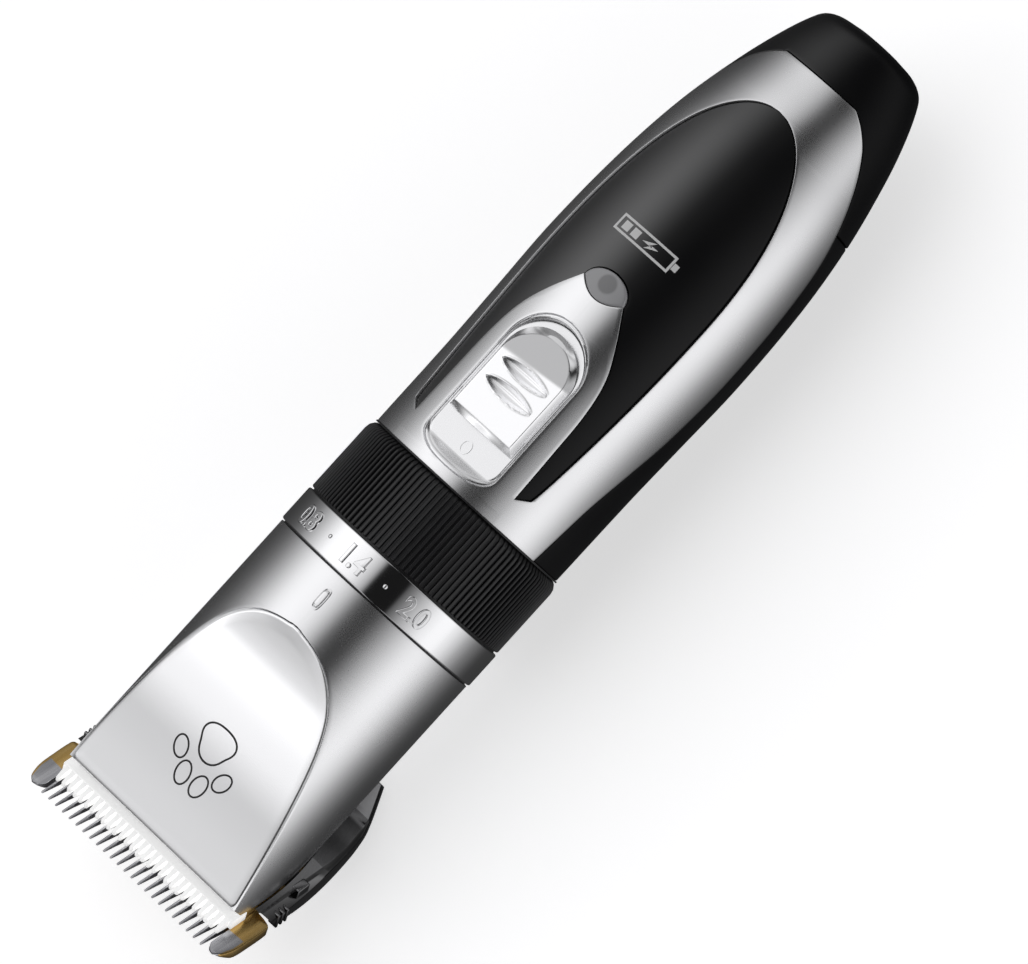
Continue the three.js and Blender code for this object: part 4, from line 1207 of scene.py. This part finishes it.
def makeMovingBlade():
    low, high, start = mover["low"], mover["high"], mover["start"]
    steps = [(start, 0.2, low, low + 0.6, 0.7), (start + 0.2, 0.4, low, low + 0.9, 0.7),
             (start + 1.2, 0.5, low, low + 1.5, 0.75), (mover["root"], 0.56, low, high - 0.1, 0.85),
             (mover["root"] + 1.2, 0.6, low, high, 0.9)]
    meshes = [comb(steps, mover["teeth"], mover["pitch"], ceramicWhite)]
    blocks = ((mover["half"], mover["root"], 8.8), (mover["backHalf"], 8.6, 13.2), (14, 13, 16))
    for half, front, back in blocks:
        meshes.append(roundedBlock((-half, front, low), (half, back, high), 0.2, bladePoints))
    pieceFrom("ceramic_cutter", meshes, "cutter", ("moving_blade",), ceramicWhite, 30)


holder = dict(
    start=9.5, step=20.9, fade=5, end=36.2, hinge=(38.8, -18.2), restLevel=-20.0, wallTop=0.3, ridgeTop=2.3,
    ridge=(19.4, 20.4), clearance=0.15,
    half=[(9.5, 22.2), (14, 22), (19, 21.3), (25.5, 20), (30, 18.6), (34, 16.9), (39, 14.6)],
    bottom=[(9.5, -8.4), (14, -13.6), (19, -17.6), (24, -19.6), (26, -20), (39, -20)])
holderHalf = smoothCurve(holder["half"])
holderBottom = smoothCurve(holder["bottom"])


def holderRing(y, seat, wall, rise, count=56):
    # the round underside, then the two side walls with their inner ridges, and the seat between them
    half, bottom = float(holderHalf(y)), max(float(holderBottom(y)), holder["restLevel"])
    ring = []
    for i in range(count + 1):
        side, down = math.cos(math.pi * i / count), math.sin(math.pi * i / count)
        ring.append((math.copysign(half * abs(side) ** 0.5, side), y,
                     wall - (wall - bottom) * abs(down) ** 0.5))
    beside = math.sqrt(max(0.0, head["radius"] ** 2 - (wall + rise) ** 2)) + holder["clearance"]
    inner = min(holder["ridge"][0], half - 0.6, beside)
    outer = min(holder["ridge"][1], half - 0.3)
    for side in (-1, 1):
        edge = [(half - 0.15, wall + 0.05), (outer + 0.1, wall + 0.35 * rise), (outer, wall + rise * 0.9),
                (outer - 0.1, wall + rise), (inner + 0.1, wall + rise), (inner, wall + rise * 0.9),
                (inner, seat)]
        ring += [(side * x, y, z) for x, z in (edge if side < 0 else edge[::-1])]
    return ring


def makeBladeHolder():
    rings = []
    for y in spread((holder["start"], holder["step"], 0.8)):
        wall = float(bladePlane(y, holder["wallTop"]))
        rise = float(bladePlane(y, holder["ridgeTop"])) - wall
        rings.append(holderRing(y, float(bladePlane(y, -2.5)), wall, rise))
    for y in spread((holder["step"], holder["end"], 0.9)):
        seat = max(float(bladePlane(y, 1.7)), head["heelHeight"] - 0.4)
        fade = max(0.0, 1 - (y - holder["step"]) / holder["fade"])
        wall = max(float(bladePlane(y, holder["wallTop"])), head["heelHeight"] - 0.5)
        ridgeTop = max(float(bladePlane(y, holder["ridgeTop"])), seat)
        rise = (ridgeTop - wall) * fade + (seat - wall) * (1 - fade)
        rings.append(holderRing(y, seat - 0.02, wall, rise))
    meshes = [loftedMesh(rings, toFrame)]
    y, z = holder["hinge"]
    for side in (-1, 1):
        near, far = sorted((side * 3.9, side * 12))
        meshes.append(roundedBlock((near, 35.6, -19.95), (far, y, -16.55), 0.3))
        turns = np.linspace(0, 2 * math.pi, 36, False)
        barrel = [[(x, y + r * math.sin(t), z + r * math.cos(t)) for t in turns]
                  for x, r in ((near, 1.65), (near + 0.15, 1.8), (far - 0.15, 1.8), (far, 1.65))]
        meshes.append(loftedMesh(barrel, toFrame))
        # the latch block on each side wall, with thumb ribs in front of it
        low, high = sorted((side * 20.0, side * 21.6))
        meshes.append(roundedBlock((low, 18.0, -0.6), (high, 20.6, 2.5), 0.25, bladePoints))
        low, high = sorted((side * 20.6, side * 22.4))
        for depth in (13.2, 14.2, 15.2):
            meshes.append(roundedBlock((low, depth, -2.4), (high, depth + 0.5, 0.75), 0.18, bladePoints))
    pieceFrom("blade_carrier", meshes, "blade_set", ("blade_holder",), darkChrome, 30)


# the face plate's painted shade runs from the blade to station 20 and fades out by 28.5
plateSilver = plateWithPaintedShade(20, 28.5)
# the button's painted shade starts at its crease
buttonChrome = buttonWithPaintedShade(button["crease"], 0.1)
titaniumBlade = bladeFinish(blade["tilt"], blade["tipHeight"], blade["ground"], blade["rim"],
                            blade["rimStart"])

makeFrontFrame()
makeInsetPanel()
makeRearCasing()
makeTailCap()
makeRecessTray()
print("handle done")
makeSwitchButton()
makeLens()
makeChargeMark()
makeFloorMark()
print("switch and lamp done")
makeDialRing()
makeGripRing()
makeSeamRings()
print("rings done")
makeHeadHousing()
makeHeadDetails()
makeFacePlate()
makePawPrint()
print("head done")
makeFixedBlade()
makeMovingBlade()
makeBladeHolder()
print("blades done")


# Finishes of the frame's own parts, which stay as they are in shape.
nodeFinishes = [
    (darkChrome, ("hinge_pin", "motor_magnet_left", "motor_magnet_right", "casing_screw_1", "casing_screw_2",
                  "casing_screw_3", "casing_screw_4")),
    (innerSteel, ("blade_screw_left", "blade_screw_right", "blade_spring", "adjust_rod", "detent_leaf",
                  "motor_bracket", "motor_can", "motor_screw_left", "motor_screw_right", "motor_armature",
                  "motor_shaft", "cam_pin", "socket_pin")),
    (whiteAcetal, ("drive_fork", "adjust_sleeve", "eccentric_cam", "motor_end_cap", "charge_led",
                   "switch_carrier", "switch_lever")),
    (blackSatin, ("blade_guide", "charging_socket", "battery_cap", "motor_wire_black", "socket_wire")),
    (greyNylon, ("slide_switch_body",)),
    (contactBrass, ("motor_bearing", "battery_contact_front", "battery_contact_rear")),
    (boardGreen, ("circuit_board",)),
    (cellBlue, ("battery_cell", "capacitor")),
    (wireRed, ("motor_wire_red", "battery_wire_red")),
    (gripBlack, ("charge_chip",)),
]
for finish, names in nodeFinishes:
    for name in names:
        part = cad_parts[name]
        part.data.materials.clear()
        part.data.materials.append(finish)
replaced = {"front_casing", "inset_panel", "rear_casing", "tail_cap", "switch_slider", "indicator_lens",
            "dial_ring", "grip_ring", "head_housing", "face_plate", "fixed_blade", "moving_blade",
            "blade_holder"}
named = {name for _, names in nodeFinishes for name in names}
print("frame parts without a finish:", sorted(set(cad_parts) - named - replaced))

# Floor, light and camera.
studio = dict(
    floorSize=5.0, floorGlow=0.58, background=0.97, topLevel=1.5,
    bands=[(-180, 0.04), (-134, 0.07), (-115, 0.16), (-101, 0.35), (-88, 0.62), (-76, 0.95), (-65, 1.18),
           (-55, 1.22), (-45, 1.14), (-36, 1.05), (-27, 0.82), (-19, 0.5), (-15, 0.2), (-11, 0.01),
           (11, 0.01), (15, 0.1), (20, 0.2), (27, 0.37), (36, 0.6), (45, 0.82), (55, 1.02), (65, 1.1),
           (76, 0.95), (88, 0.66), (101, 0.33), (116, 0.14), (134, 0.05), (180, 0.04)],
    lift=[(-90, 0.35), (-62, 0.5), (-52, 0.62), (-46, 0.8), (-37, 1.25), (-31.5, 0.68), (-27, 0.62),
          (-18, 0.8), (-6, 1.0), (6, 1.0), (22, 0.72), (40, 0.66), (60, 0.55), (90, 0.4)])
view = dict(lens=241, sensor=36, distance=1.08, lean=math.radians(19), roll=math.radians(47.8),
            station=85.9, aside=3.5)


def makeFloor():
    half = studio["floorSize"] / 2
    corners = [(-half, -half, 0), (half, -half, 0), (half, half, 0), (-half, half, 0)]
    mesh = rawMesh(corners, [(0, 1, 2, 3)])
    floor = bpy.data.objects.new("floor", mesh)
    bpy.context.scene.collection.objects.link(floor)
    finish = Finish("paleFloor", Roughness=0.9, Emission_Strength=studio["floorGlow"])
    finish.shader.inputs["Emission Color"].default_value = (1, 1, 1, 1)
    cloud = finish.noise(3, 2)
    floor.data.materials.append(finish.feed(Base_Color=finish.mix(cloud, grey(0.9), grey(0.93))))
    floor.visible_glossy = False


def cameraAxes():
    back = Vector((math.sin(view["lean"]), 0, math.cos(view["lean"])))
    across = Vector((math.cos(view["lean"]), 0, -math.sin(view["lean"])))
    along = Vector((0, 1, 0))
    right = along * math.cos(view["roll"]) + across * math.sin(view["roll"])
    up = along * math.sin(view["roll"]) - across * math.cos(view["roll"])
    return right, up, back, across


def makeLight():
    # a light tent: white walls either side of a dark gap, dark below
    _, _, back, across = cameraAxes()
    world = bpy.data.worlds.new("studio")
    bpy.context.scene.world = world
    world.use_nodes = True
    tree = world.node_tree
    tree.nodes.clear()

    def node(kind, settings, inputs, output=0):
        made = tree.nodes.new(kind)
        for key, value in settings.items():
            setattr(made, key, value)
        for key, value in inputs.items():
            if isinstance(value, bpy.types.NodeSocket):
                tree.links.new(value, made.inputs[key])
            else:
                made.inputs[key].default_value = value
        return made.outputs[output]

    ray = node("ShaderNodeTexCoord", {}, {}, "Generated")
    forward = node("ShaderNodeVectorMath", dict(operation="DOT_PRODUCT"), {0: ray, 1: back}, "Value")
    sideways = node("ShaderNodeVectorMath", dict(operation="DOT_PRODUCT"), {0: ray, 1: across}, "Value")
    turn = node("ShaderNodeMath", dict(operation="ARCTAN2"), {0: sideways, 1: forward})
    place = node("ShaderNodeMath", dict(operation="MULTIPLY_ADD"), {0: turn, 1: 0.5 / math.pi, 2: 0.5})
    rise = node("ShaderNodeSeparateXYZ", {}, {0: ray}, "Y")
    tilt = node("ShaderNodeMath", dict(operation="ARCSINE"), {0: rise})
    tiltPlace = node("ShaderNodeMath", dict(operation="MULTIPLY_ADD"), {0: tilt, 1: 1 / math.pi, 2: 0.5})

    def levels(source, stops, span):
        curve = tree.nodes.new("ShaderNodeFloatCurve")
        line = curve.mapping.curves[0]
        while len(line.points) < len(stops):
            line.points.new(0.5, 0.5)
        for point, (angle, level) in zip(line.points, stops):
            # a curve runs from 0 to 1, so levels are held as shares of the top level
            point.location = (angle / span + 0.5, level / studio["topLevel"])
            point.handle_type = "AUTO_CLAMPED"
        curve.mapping.update()
        tree.links.new(source, curve.inputs["Value"])
        return curve.outputs[0]

    around = levels(place, studio["bands"], 360)
    along = levels(tiltPlace, studio["lift"], 180)
    both = node("ShaderNodeMath", dict(operation="MULTIPLY"), {0: around, 1: along})
    strength = node("ShaderNodeMath", dict(operation="MULTIPLY"), {0: both, 1: studio["topLevel"] ** 2})
    tent = node("ShaderNodeBackground", {}, {"Color": grey(1.0), "Strength": strength})
    plain = node("ShaderNodeBackground", {}, {"Color": grey(studio["background"]), "Strength": 1.0})
    seen = node("ShaderNodeLightPath", {}, {}, "Is Camera Ray")
    mixed = node("ShaderNodeMixShader", {}, {0: seen, 1: tent, 2: plain})
    tree.links.new(mixed, tree.nodes.new("ShaderNodeOutputWorld").inputs["Surface"])


def makeCamera():
    right, up, back, across = cameraAxes()
    target = Vector(toFrame(np.array([[0, view["station"], 0]]))[0]) + across * view["aside"] * mm
    camera = bpy.data.objects.new("camera", bpy.data.cameras.new("camera"))
    bpy.context.scene.collection.objects.link(camera)
    camera.data.lens, camera.data.sensor_width = view["lens"], view["sensor"]
    camera.data.clip_start, camera.data.clip_end = 0.05, 20
    turn = Matrix((right, up, back)).transposed().to_4x4()
    camera.matrix_world = Matrix.Translation(target + back * view["distance"]) @ turn
    bpy.context.scene.camera = camera


makeFloor()
makeLight()
makeCamera()
bpy.context.scene.view_settings.view_transform = "Standard"
print("stage done")
